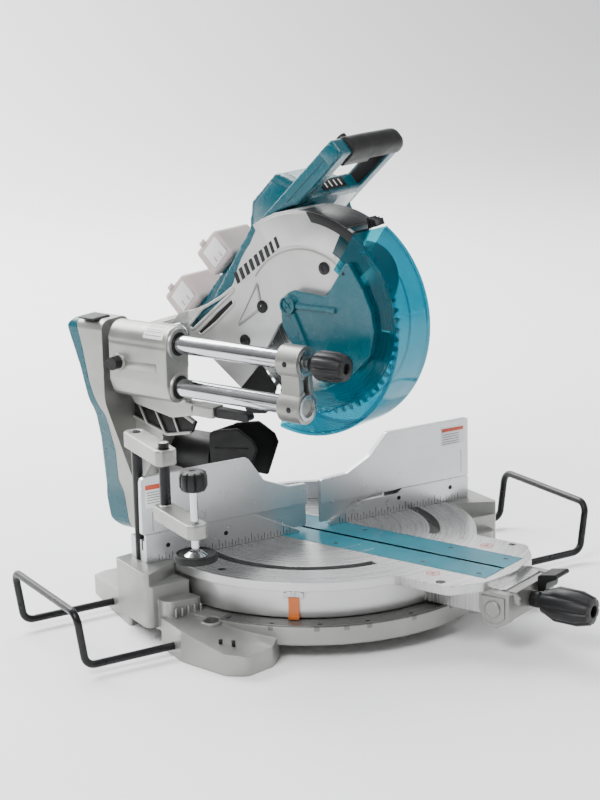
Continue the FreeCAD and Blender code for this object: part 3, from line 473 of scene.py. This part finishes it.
def table_details():
    """Seams, screws and the two ring signs on the table's front arm."""
    top = on_top(TABLE, turn_point)
    for x, y, word in ((-66, -236, "left"), (66, -236, "right")):
        sign = [band((x, y), 7.2, 9.0, 0, 359, 30), strip((x - 4.6, y + 4.6), (x + 4.6, y - 4.6), 1.4)]
        prisms(word + "_hand_sign", top, sign, 0.0, 0.12, red, "table")
        hand = [strip((x - 3, y - 1.5), (x + 3.5, y + 1), 2.6), strip((x - 1, y), (x - 1, y + 4), 1.2),
                strip((x + 1, y), (x + 1.2, y + 4.2), 1.2)]
        prisms(word + "_hand_mark", top, hand, 0.0, 0.1, ink, "table")
    seam = [band((0, 0), 205.5, 206.5, 200, 250, 30), band((0, 0), 205.5, 206.5, 290, 340, 30)]
    prisms("table_seam", top, seam, 0.0, 0.08, steel, "table")
    rings = [band((0, 0), r, r + 0.7, 190, 258, 40) for r in (92, 118)]
    rings += [band((0, 0), r, r + 0.7, 282, 350, 40) for r in (92, 118)]
    prisms("table_rings", top, rings, 0.0, 0.06, steel, "table")
    screws = []
    for side in (-1, 1):
        for y in (-285, -200, -60, 120):
            screws.append(circle((side * 34, y), 3.3, 18))
    prisms("board_screws", on_top(94.6, turn_point), screws, 0.0, 1.9, black_steel, "table",
           0.3)
    gap = [strip((x, -300), (x, 147), 0.6) for x in (-44, 44)]
    prisms("board_edges", top, gap, 0.0, 0.06, ink, "table")


def nose_details():
    """Cheek plate, boss and lugs of the mitre lock, and the collar behind its grip."""
    side = on_side(-58, turn_point)
    prism("lock_cheek_plate", side, [(-304, 80), (-338, 80), (-338, 52), (-326, 44), (-312, 44),
                                     (-304, 62)], 0.0, 2.0, cast, "table", 0.8)
    turned_solid("lock_boss", about_x(-322, 64), [(11, 56, False), (11, 62.5, False), (9.5, 63.5, False)],
                 28, cast, "table")
    profile = [(9.5, 344.2, False), (10.5, 346, False), (10.5, 355, False), (8.4, 358, False),
               (8.4, 361.6, False)]
    turned_solid("grip_collar", about_y(0, 64), profile, 32, black, "mitre_lock")
    outline = [(-331, 84), (-345, 84), (-352, 78), (-352, 70), (-331, 70)]
    for x, word in ((-40, "left"), (46, "right")):
        prism(word + "_nose_lug", on_side(x, turn_point), outline, 0.0, 7.0, cast, "table",
              1.2)


def middle(low, high):
    """Middle of a box seen from above, millimetres."""
    return (low.x + high.x) / 2 / MM, (low.y + high.y) / 2 / MM


def vise_details():
    """Fluted knob, post cap, black sleeve and pad of the vise."""
    box_low, box_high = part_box("vise_knob")
    x, y = middle(Vector(box_low), Vector(box_high))
    profile = [(11, 236.2, False), (15.0, 237.5, True), (17.8, 243.0, True), (17.8, 254.0, True),
               (16.2, 260.0, True), (12.5, 261.8, False), (5.0, 261.8, False), (4.0, 260.6, False)]
    knob = turned_solid("vise_knob_fluted", about_z(x, y), profile, 120, black, "vise_press",
                        10, 2.6)
    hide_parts("vise_knob")
    low, high = (Vector(v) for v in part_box("vise_post"))
    post_x, post_y = middle(low, high)
    cap = [(6.9, 268.9, False), (6.9, 270.2, False), (5.4, 271.6, False), (3.0, 271.6, False),
           (2.6, 270.4, False)]
    turned_solid("vise_post_cap", about_z(post_x, post_y), cap, 28, black_steel, "base")
    sleeve = [(6.8, 195.2, False), (7.05, 195.2, False), (7.05, 278.8, False), (6.8, 278.8, False)]
    turned_ring("vise_drop_sleeve", about_z(-261, -68), sleeve, black_steel, "vise_drop")
    bright = [(6.0, 158.4, False), (8.2, 158.3, False), (10.5, 156.6, False), (19.0, 151.0, False),
              (22.5, 149.5, False), (6.0, 149.3, False)]
    turned_ring("vise_pad_cone", about_z(x, y), bright, chrome, "vise_press", 56)
    pad_ring = [(20.2, 147.2, False), (26.8, 147.2, False), (27.0, 152.0, False), (25.6, 155.4, False),
                (23.6, 155.6, False), (22.6, 153.0, False)]
    turned_ring("vise_pad_lip", about_z(x, y), pad_ring, rubber, "vise_press", 56)


# ---------------------------------------------------------------- fences
def fence_details():
    """Labels, seam lines and clamp levers of the sub-fences, and screw heads on the fence."""
    front = on_front(0)
    prism("fence_label", front, [(-257, 172), (-232, 172), (-232, 204), (-257, 204)], 0.0, 0.25, paper,
          "left_fence", 0.1)
    prism("fence_label_band", front, [(-256.4, 197), (-232.6, 197), (-232.6, 203.4), (-256.4, 203.4)], 0.25,
          0.4, red, "left_fence", 0.05)
    lines = [strip((-254, z), (-235, z), 0.8) for z in (193, 189.5, 186, 182.5, 179)]
    prisms("fence_label_lines", front, lines, 0.25, 0.35, ink, "left_fence")
    prism("right_fence_label", front, [(212, 180), (251, 180), (251, 206), (212, 206)], 0.0, 0.25, paper,
          "right_fence", 0.1)
    prism("right_fence_band", front, [(213, 200), (250, 200), (250, 205), (213, 205)], 0.25, 0.4, red,
          "right_fence", 0.05)
    lines = [strip((215, z), (242, z), 0.8) for z in (196, 192.5, 189, 185.5, 182.5)]
    prisms("right_fence_lines", front, lines, 0.25, 0.35, ink, "right_fence")
    holes = [circle((x, 117), 3.1, 20) for x in (-226, -139, 139, 227)]
    prisms("fence_screw_heads", front, holes, -0.8, 0.1, black_steel, "base")
    seam = [strip((-247, 140), (-247, 166), 0.7)]
    prisms("left_fence_seam", front, seam, 0.0, 0.1, ink, "left_fence")
    seam = [strip((246, 136), (246, 170), 0.7)]
    prisms("right_fence_seam", front, seam, 0.0, 0.1, ink, "right_fence")
    for side, word, body in ((-1, "left", "left_fence"), (1, "right", "right_fence")):
        lever = [(side * 150, 150), (side * 176, 150), (side * 180, 156), (side * 176, 162),
                 (side * 150, 160)]
        back = on_front(8)
        prism(word + "_fence_lever", back, lever, -7.0, -0.02, black, body, 1.0)


# ---------------------------------------------------------------- arm, poles, carriage
def arm_details():
    """Cap, gusset, duct sleeve, pole lips and bolts of the bevel arm; the gusset plate is black as painted
    shade between its silver ribs.
    """
    prisms("cover_bumps", on_side(-40), [strip((296, 90), (316, 92), 3), strip((300, 76), (314, 78), 3)],
           0.0, 1.0, teal, "bevel_arm", 0.4)
    cap_outline = [(272, 383.9), (300, 383.9), (304, 385.4), (300, 386.6), (276, 386.6)]
    prism("arm_cap", on_side(-96), cap_outline, 0.0, 34.0, black, "bevel_arm", 0.8)
    sleeve = [(22.0, 256, False), (26.0, 256, False), (27.6, 222, False), (29.2, 220, False),
              (29.6, 178, False), (28.0, 163, False), (22.0, 163, False)]
    turned_ring("duct_sleeve", lambda r, a, h: turn_point(r * math.cos(a), h, 178 + r * math.sin(a)),
                sleeve, black, "bevel_arm", 56)
    # The gusset plate is black as painted shade: it stands for the shadowed side face between the silver
    # ribs.
    gusset = [(276, 262), (222, 277), (150, 243), (158, 227), (201, 217), (270, 236)]
    mesh = bmesh.new()
    add_prism(mesh, on_side(-62), gusset, 0.0, 5.0)
    finish_mesh("arm_gusset", mesh, black, "bevel_arm", 1.5)
    bars = [strip((274, 262), (222, 276), 4.5), strip((222, 276), (152, 243), 4.5),
            strip((158, 228), (201, 219), 4.5), strip((201, 219), (268, 238), 4.5),
            strip((232, 272), (206, 222), 3.4), strip((196, 264), (180, 225), 3.4),
            strip((256, 266), (238, 230), 3.4)]
    prisms("arm_gusset_ribs", on_side(-62), bars, 5.0, 9.0, silver, "bevel_arm", 0.8)
    for z, word in ((UPPER_POLE, "upper"), (LOWER_POLE, "lower")):
        ring = [(12.6, 66.2, False), (17.5, 66.2, False), (17.5, 67.6, False), (12.6, 67.6, False)]
        turned_ring(word + "_pole_lip", about_y(POLE_X, z), ring, steel, "bevel_arm")
    bolt = [circle((-47, 360), 4.2, 6), circle((-52, 300), 4.2, 6)]
    prisms("bracket_bolts", on_side(-121.9), bolt, -2.0, 0.4, black_steel, "bevel_arm", 0.2)


def knob_details():
    """Facets and ribs of the bevel lock knob and the mitre grip."""
    profile = [(10, 84.5, False), (17.5, 85.2, True), (19.8, 90, True), (19.8, 116, True),
               (17.0, 128, True), (13.0, 129.8, False), (7.2, 129.8, False), (6.0, 124.0, False)]
    knob = turned_solid("bevel_knob_grip", about_y(POLE_X, UPPER_POLE), profile, 128, black, "bevel_lock",
                        8, 2.2)
    neck = [(9.2, 74.2, False), (12.8, 83.0, False), (12.8, 84.6, False)]
    turned_solid("bevel_knob_neck", about_y(POLE_X, UPPER_POLE), neck, 40, black_steel, "bevel_lock")
    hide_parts("bevel_knob")
    profile = [(12, 362.2, False), (15.5, 363.0, False), (17.2, 369, False), (22.8, 382, True),
               (22.8, 414, True), (18.2, 431.0, True), (12.5, 432.8, False), (8.0, 432.8, False),
               (7.2, 424, False)]
    grip = turned_solid("mitre_grip_moulded", about_y(0, 64), profile, 128, black, "mitre_lock",
                        8, 2.4)
    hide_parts("mitre_grip")


def carriage_details():
    """Bush lips, label, blank plate and pin collar of the slide carriage."""
    for z, r, word in ((UPPER_POLE, 24, "upper"), (LOWER_POLE, 22, "lower")):
        lip = [(16.2, -149.9, False), (r - 1.5, -149.9, False), (r - 3.0, -147.2, False),
               (16.2, -147.2, False)]
        turned_ring(word + "_bush_lip", about_y(POLE_X, z), lip, silver, "sliding_carriage",
                    48)
        wiper = [(12.62, -149.5, False), (16.0, -149.5, False), (16.0, -146.8, False),
                 (12.62, -146.8, False)]
        turned_ring(word + "_pole_wiper", about_y(POLE_X, z), wiper, rubber, "sliding_carriage",
                    48)
    barrel = lambda u, v, level: turn_point(POLE_X + (24.05 + level) * math.cos(math.radians(v)), u,
                                            UPPER_POLE + (24.05 + level) * math.sin(math.radians(v)))
    curved = bmesh.new()
    for k in range(8):
        v = 96 + 8 * k
        add_prism(curved, barrel, [(158, v), (192, v), (192, v + 8), (158, v + 8)], 0.0, 0.25)
    finish_mesh("carriage_label", curved, paper, "sliding_carriage")
    words = [[(162 + 4 * k, v), (164.6 + 4 * k, v), (164.6 + 4 * k, v + 2.5), (162 + 4 * k, v + 2.5)]
             for k in range(7) for v in (104, 112, 126, 134, 148)]
    prisms("carriage_label_words", barrel, words, 0.25, 0.35, ink, "sliding_carriage")
    collar = [(9.2, 122, False), (12.4, 122, False), (12.4, 126.5, False), (10.8, 128.5, False),
              (9.2, 128.5, False)]
    turned_ring("stop_pin_collar", about_x(235, 330), collar, silver, "sliding_carriage")
    side = on_side(-125)
    prism("carriage_plate", side, [(168, 322), (222, 322), (222, 334), (168, 334)], 0.0, 0.5, silver,
          "sliding_carriage", 0.3)


# ---------------------------------------------------------------- saw head
def case_details():
    """Raised bands, panel, screws, stripes and dark crown of the blade case."""
    side = on_side(CASE_X)
    prism("case_band", side, band(BLADE, 103, 146, 60, 119, 36), 0.0, 0.9, pale_silver, "saw_head",
          0.4)
    prism("case_ring", side, band(BLADE, 97.0, 99.4, 34, 128, 48), 0.0, 1.2, silver, "saw_head",
          0.4)
    panel = [[(65, 441), (62, 439), (57, 409), (60, 408)], [(60, 408), (57, 406), (96, 378), (98, 381)],
             [(98, 381), (96, 384), (64, 437), (65, 441)]]
    prisms("case_panel", side, panel, 0.0, 1.3, silver, "saw_head", 0.3)
    mechanism = arc(BLADE, 149, 92, 128, 12) + [(-118, 500),
                                                (-104, 498)] + list(reversed(arc(BLADE, 136, 96, 124, 10)))
    prism("case_mechanism", side, mechanism, 0.2, 1.7, black, "saw_head", 0.8)
    mesh = bmesh.new()
    add_prism(mesh, lambda u, v, level: turn_point(level, u, v), band(BLADE, 149.55, 150.15, 88, 117.5, 20),
              -32.8, 32.4)
    add_prism(mesh, lambda u, v, level: turn_point(level, u, v), band(BLADE, 141.5, 150.0, 117.6, 118.6, 2),
              -32.8, 32.4)
    finish_mesh("case_crown", mesh, black, "saw_head", 0.2)
    lugs = [strip((-112 + 5 * i, 528 - 2.0 * i), (-109 + 5 * i, 536.5 + 0.9 * i), 3.2) for i in range(3)]
    prisms("case_crown_lugs", on_side(14), lugs, 0.0, 20.0, black_steel, "saw_head", 0.6)
    smoked = band(BLADE, 108, 136, 116, 142, 14)
    prism("case_smoked_plate", side, smoked, 0.1, 1.6, guard_dark, "saw_head", 0.2)
    for y, z in ((56, 409), (-48, 471), (87, 359)):
        word = "case_screw_%d" % z
        profile = [(8.6, 32.0, False), (8.6, 33.5, False), (7.4, 34.1, False), (3.4, 34.1, False),
                   (3.0, 33.0, False)]
        turned_solid(word, about_x(y, z), profile, 24, black_steel, "saw_head")
    along = Vector((-0.79, 0.61))
    rise = Vector((0.61, 0.79))
    bars = []
    for i in range(9):
        foot = Vector((97, 436)) + along * 11.0 * i
        corners = (foot, foot + along * 5.5, foot + along * 9.5 + rise * 15, foot + along * 4 + rise * 15)
        bars.append([tuple(c) for c in corners])
    prisms("case_stripes", side, bars, 0.0, 1.15, ink, "saw_head")


def loop_outline(points, thickness):
    """A closed bar round a list of points, as outline pieces."""
    outlines = []
    for a, b in zip(points, points[1:] + points[:1]):
        outlines.append(strip(a, b, thickness))
    return outlines


def web_loops():
    """The two open webs between the case and the hinge; the lower web's opening is a black sheet of painted
    shade.
    """
    upper = [(106, 430), (105, 426), (137, 399), (178, 364), (186, 368), (161, 395), (128, 414)]
    lower = [(108, 416), (104, 408), (136, 379), (164, 358), (171, 361), (137, 392)]
    place = on_side(-26)
    recess = on_side(-32)
    prism("upper_web_recess", recess, upper, 0.0, 0.4, teal, "saw_head", 0.1)
    # The lower web's opening is a black sheet of painted shade standing for the dark hollow behind it.
    prism("lower_web_shade", recess, lower, 0.0, 0.4, black, "saw_head", 0.1)
    prisms("upper_web_loop", place, loop_outline(upper, 4.5), 0.0, 7.6, pale_silver, "saw_head",
           1.0)
    prisms("lower_web_loop", place, loop_outline(lower, 4.0), 0.0, 7.0, pale_silver, "saw_head",
           1.0)


def cover_details():
    """Spokes of the centre cover's hub and the screw at its tip."""
    outline = [circle((0, 420), 3.0, 16)]
    for i in range(4):
        a = math.radians(45 + 90 * i)
        outline.append(strip((3 * math.cos(a), 420 + 3 * math.sin(a)),
                             (10 * math.cos(a), 420 + 10 * math.sin(a)), 2.6))
    prisms("cover_hub_spokes", on_side(-50), outline, 0.0, 1.2, teal, "blade_guard", 0.3)
    ring = [(9.4, 49.9, False), (12.0, 49.9, False), (12.0, 52.2, False), (9.4, 52.2, False)]
    turned_ring("cover_hub_ring", about_x(0, 420), ring, teal, "blade_guard")
    prisms("cover_pin", on_side(-46), [circle((-88, 470), 2.2, 14)], 0.0, 0.5, black_steel, "blade_guard")


def guard_details():
    """Rolled rim and stiffening beads of the clear guard."""
    for x, word in ((-37.0, "near"), (35.4, "far")):
        place = on_side(x)
        prism(word + "_guard_bead", place, band(BLADE, 120, 122.5, 150, 282, 60), 0.0,
              1.6 if x < 0 else -1.6, guard_clear, "blade_guard", 0.4)
        prism(word + "_guard_lip", place, band(BLADE, 147.4, 152.4, 124.4, 285.6, 70), 0.0,
              2.2 if x < 0 else -2.2, guard_clear, "blade_guard", 0.6)
    prism("guard_root_screw", on_side(-37.0), circle((-100, 452), 5.0, 20), 0.0, 2.2, black_steel,
          "blade_guard", 0.5)


def housing_details():
    """Panel, marks, vents and the blank label of the motor housing; the vents are black strips of painted
    shade.
    """
    side = on_side(44)
    prism("housing_panel", side, [(93, 566), (124, 533), (127, 500), (96, 486), (52, 520), (50, 552)], 0.0,
          1.2, teal, "saw_head", 0.8)
    dots = []
    for i in range(4):
        dots.append(strip((122 - 8 * i, 470 + 9 * i), (128 - 8 * i, 476 + 9 * i), 2.2))
    prisms("housing_marks", side, dots, 0.0, 0.3, paper, "saw_head")
    # The vents are black strips of painted shade standing for the dark insides of the slots.
    vents = [strip((0 + 9 * i, 388), (6 + 9 * i, 462), 2.6) for i in range(4)]
    prisms("motor_vent_shade", on_side(171, turn_point), vents, -0.6, 0.2, black, "saw_head")
    plate = lambda u, v, level: turn_point(u, -5 - 0.9 * (v - 545) - level, v)
    prism("housing_label", plate, [(56, 528), (96, 528), (96, 552), (56, 552)], 0.0, 0.5, paper, "saw_head",
          0.1)


def moulded_grip():
    """The grip: a soft-cornered bar that closes round the far end of the handle."""
    stations = [(20.3, 0.93, 0.93), (21.5, 1.0, 1.0), (60, 1.02, 1.0), (100, 1.0, 1.0), (124, 1.0, 1.0),
                (134, 0.96, 1.0), (141, 0.88, 0.98), (146, 0.75, 0.95), (149.2, 0.58, 0.9),
                (149.8, 0.4, 0.7)]
    steps = 40
    mesh = bmesh.new()
    rings = []
    for x, reach, thick in stations:
        ring = []
        for i in range(steps):
            a = 2 * math.pi * i / steps
            u = math.copysign(abs(math.cos(a)) ** 0.72, math.cos(a)) * 17.6 * reach
            v = math.copysign(abs(math.sin(a)) ** 0.72, math.sin(a)) * 14.8 * thick
            ring.append(mesh.verts.new(handle_point(x, 4.2 + 17.6 * (1 - reach) + u, v)))
        rings.append(ring)
    for lower, upper in zip(rings, rings[1:]):
        for i in range(steps):
            j = (i + 1) % steps
            mesh.faces.new((lower[i], lower[j], upper[j], upper[i]))
    mesh.faces.new(rings[0])
    mesh.faces.new(list(reversed(rings[-1])))
    grip = finish_mesh("grip_moulded", mesh, rubber, "saw_head")
    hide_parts("handle_grip")
    inner = lambda u, v, level: handle_point(127.9 - level, u, v)
    prism("grip_inner_pad", inner, [(20, -11), (96, -9), (96, 9), (20, 11)], 0.0, 1.6, rubber, "saw_head",
          0.8)


def handle_details():
    """Rounded cap, seam and icon of the handle."""
    def across(x):
        return lambda u, v, level: handle_point(x - level, u, v)

    outline = arc((6, 0), 12.0, 90, 270, 14) + [(20, -12), (20, 12)]
    prism("handle_end_cap", across(-4), outline, -0.4, 1.0, teal, "saw_head", 0.6)
    seam = [strip((20, 0), (108, 0), 0.8)]
    prisms("handle_seam", across(-4), seam, 0.0, 0.3, ink, "saw_head")
    top = lambda u, v, level: handle_point(u, v, 15 + level)
    icon = [band((52, 2), 2.6, 3.6, 0, 359, 20), strip((52, 0), (52, 5.6), 1.0)]
    prisms("grip_icon", top, icon, 0.0, 0.2, paper, "saw_head")
    cross = lambda u, v, level: handle_point(u, 84 - level, v)
    letters = [strip((60 + 11 * i, -5), (60 + 11 * i, 5), 2.4) for i in range(4)]
    prisms("cross_bar_badge", cross, [[(50, -8), (104, -8), (104, 8), (50, 8)]], 0.0, 1.0, black,
           "saw_head", 0.5)
    prisms("cross_bar_marks", cross, letters, 1.0, 1.3, pack_pale, "saw_head")


def pack_details(y, z, body, word):
    """Pale panel, ribs and release catch on the side of one battery pack."""
    place = on_side(70)
    panel = [(y - 26, z + 4), (y - 4, z + 24), (y + 18, z - 2), (y - 4, z - 22)]
    prism(word + "_pack_panel", place, panel, 0.0, 1.0, pack_pale, body, 0.6)
    ribs = [strip((y - 26 + 9 * i, z - 6 - 9 * i + 12), (y - 20 + 9 * i, z - 9 * i + 12), 1.6)
            for i in range(3)]
    prisms(word + "_pack_ribs", place, ribs, 1.0, 1.8, pack, body, 0.3)
    catch = [(y + 12, z + 14), (y + 20, z + 6), (y + 25, z + 10), (y + 17, z + 19)]
    prism(word + "_pack_catch", place, catch, 0.0, 1.6, pack, body, 0.5)


def hood_details():
    """Folds in the cheeks of the dust hood."""
    for x, sign, word in ((-26.4, 1, "left"), (26.4, -1, "right")):
        folds = [strip((150, 160), (100, 176), 2.4), strip((152, 196), (92, 204), 2.4)]
        low, high = sorted((0.0, sign * 1.0))
        prisms(word + "_hood_folds", on_side(x), folds, low, high, rubber, "bevel_arm", 0.4)


# ---------------------------------------------------------------- studio
def studio():
    """A pale floor with a curved back, a soft sky and four soft lamps."""
    mesh = bmesh.new()
    profile = [(-16.0, 0.0)] + [(3.2 + 1.5 * math.sin(a), 1.5 - 1.5 * math.cos(a))
                               for a in (math.radians(9 * i) for i in range(11))] + [(4.7, 6.0)]
    rows = []
    for across in (-16.0, 16.0):
        rows.append([mesh.verts.new((across, y, z)) for y, z in profile])
    for i in range(len(profile) - 1):
        mesh.faces.new((rows[0][i], rows[1][i], rows[1][i + 1], rows[0][i + 1]))
    data = bpy.data.meshes.new("studio_floor")
    mesh.to_mesh(data)
    mesh.free()
    for polygon in data.polygons:
        polygon.use_smooth = True
    floor = bpy.data.objects.new("studio_floor", data)
    floor.location.z = -0.0005
    bpy.context.scene.collection.objects.link(floor)
    paint = Finish("studio_white")
    paint.tint(paint.noise(0.8), (0.93, 0.93, 0.93), (0.95, 0.95, 0.95))
    paint.shader.inputs["Roughness"].default_value = 0.9
    data.materials.append(paint.material)

    world = bpy.data.worlds.new("studio_sky")
    world.use_nodes = True
    tree = world.node_tree
    sky = tree.nodes["Background"]
    sky.inputs["Strength"].default_value = 1.0
    coords = tree.nodes.new("ShaderNodeTexCoord")
    split = tree.nodes.new("ShaderNodeSeparateXYZ")
    ramp = tree.nodes.new("ShaderNodeValToRGB")
    stops = ((0.0, 0.22), (0.12, 0.08), (0.45, 0.36), (1.0, 1.0))
    while len(ramp.color_ramp.elements) < len(stops):
        ramp.color_ramp.elements.new(0.5)
    for element, (where, level) in zip(ramp.color_ramp.elements, stops):
        element.position = where
        element.color = (level, level * 1.01, level * 1.03, 1)
    tree.links.new(coords.outputs["Generated"], split.inputs[0])
    tree.links.new(split.outputs["Z"], ramp.inputs["Fac"])
    tree.links.new(ramp.outputs["Color"], sky.inputs["Color"])
    bpy.context.scene.world = world
    lamps = (("key", (-1.9, -1.2, 2.2), 1.1, 74), ("fill", (2.4, -1.4, 1.5), 1.0, 26),
             ("rim", (0.9, 2.1, 2.4), 1.6, 80), ("back", (-1.2, 3.4, 3.2), 2.6, 420))
    for word, place, size, power in lamps:
        lamp = bpy.data.lights.new(word + "_lamp", "AREA")
        lamp.size = size
        lamp.energy = power
        obj = bpy.data.objects.new(word + "_lamp", lamp)
        obj.location = place
        aim = (Vector((0, 3.6, 0.6)) if word == "back" else Vector((0, 0, 0.3))) - Vector(place)
        obj.rotation_euler = aim.to_track_quat("-Z", "Y").to_euler()
        bpy.context.scene.collection.objects.link(obj)


def camera():
    """The main view: from the left front, a little above the table."""
    azimuth = math.radians(-30.73)
    rise = math.radians(14.06)
    roll = math.radians(-1.29)
    target = Vector((-0.00968, 0.0, 0.29523))
    back = Vector((math.sin(azimuth) * math.cos(rise), -math.cos(azimuth) * math.cos(rise), math.sin(rise)))
    right = Vector((math.cos(azimuth), math.sin(azimuth), 0.0))
    up = back.cross(right)
    right_rolled = right * math.cos(roll) + up * math.sin(roll)
    up_rolled = up * math.cos(roll) - right * math.sin(roll)
    place = target + back * 2.67525
    data = bpy.data.cameras.new("main_camera")
    data.lens = 89.118
    data.shift_x = -0.00724
    data.shift_y = -0.0122
    obj = bpy.data.objects.new("main_camera", data)
    matrix = Matrix((right_rolled, up_rolled, back)).transposed().to_4x4()
    matrix.translation = place
    obj.matrix_world = matrix
    bpy.context.scene.collection.objects.link(obj)
    bpy.context.scene.camera = obj


dress_nodes()
round_mouldings()
ruler_ticks()
mitre_marks()
ring_notches()
base_bosses()
table_details()
nose_details()
vise_details()
fence_details()
arm_details()
knob_details()
carriage_details()
case_details()
web_loops()
cover_details()
guard_details()
housing_details()
moulded_grip()
handle_details()
pack_details(222, 452, "upper_pack", "upper")
pack_details(285, 382, "lower_pack", "lower")
hood_details()
studio()
camera()
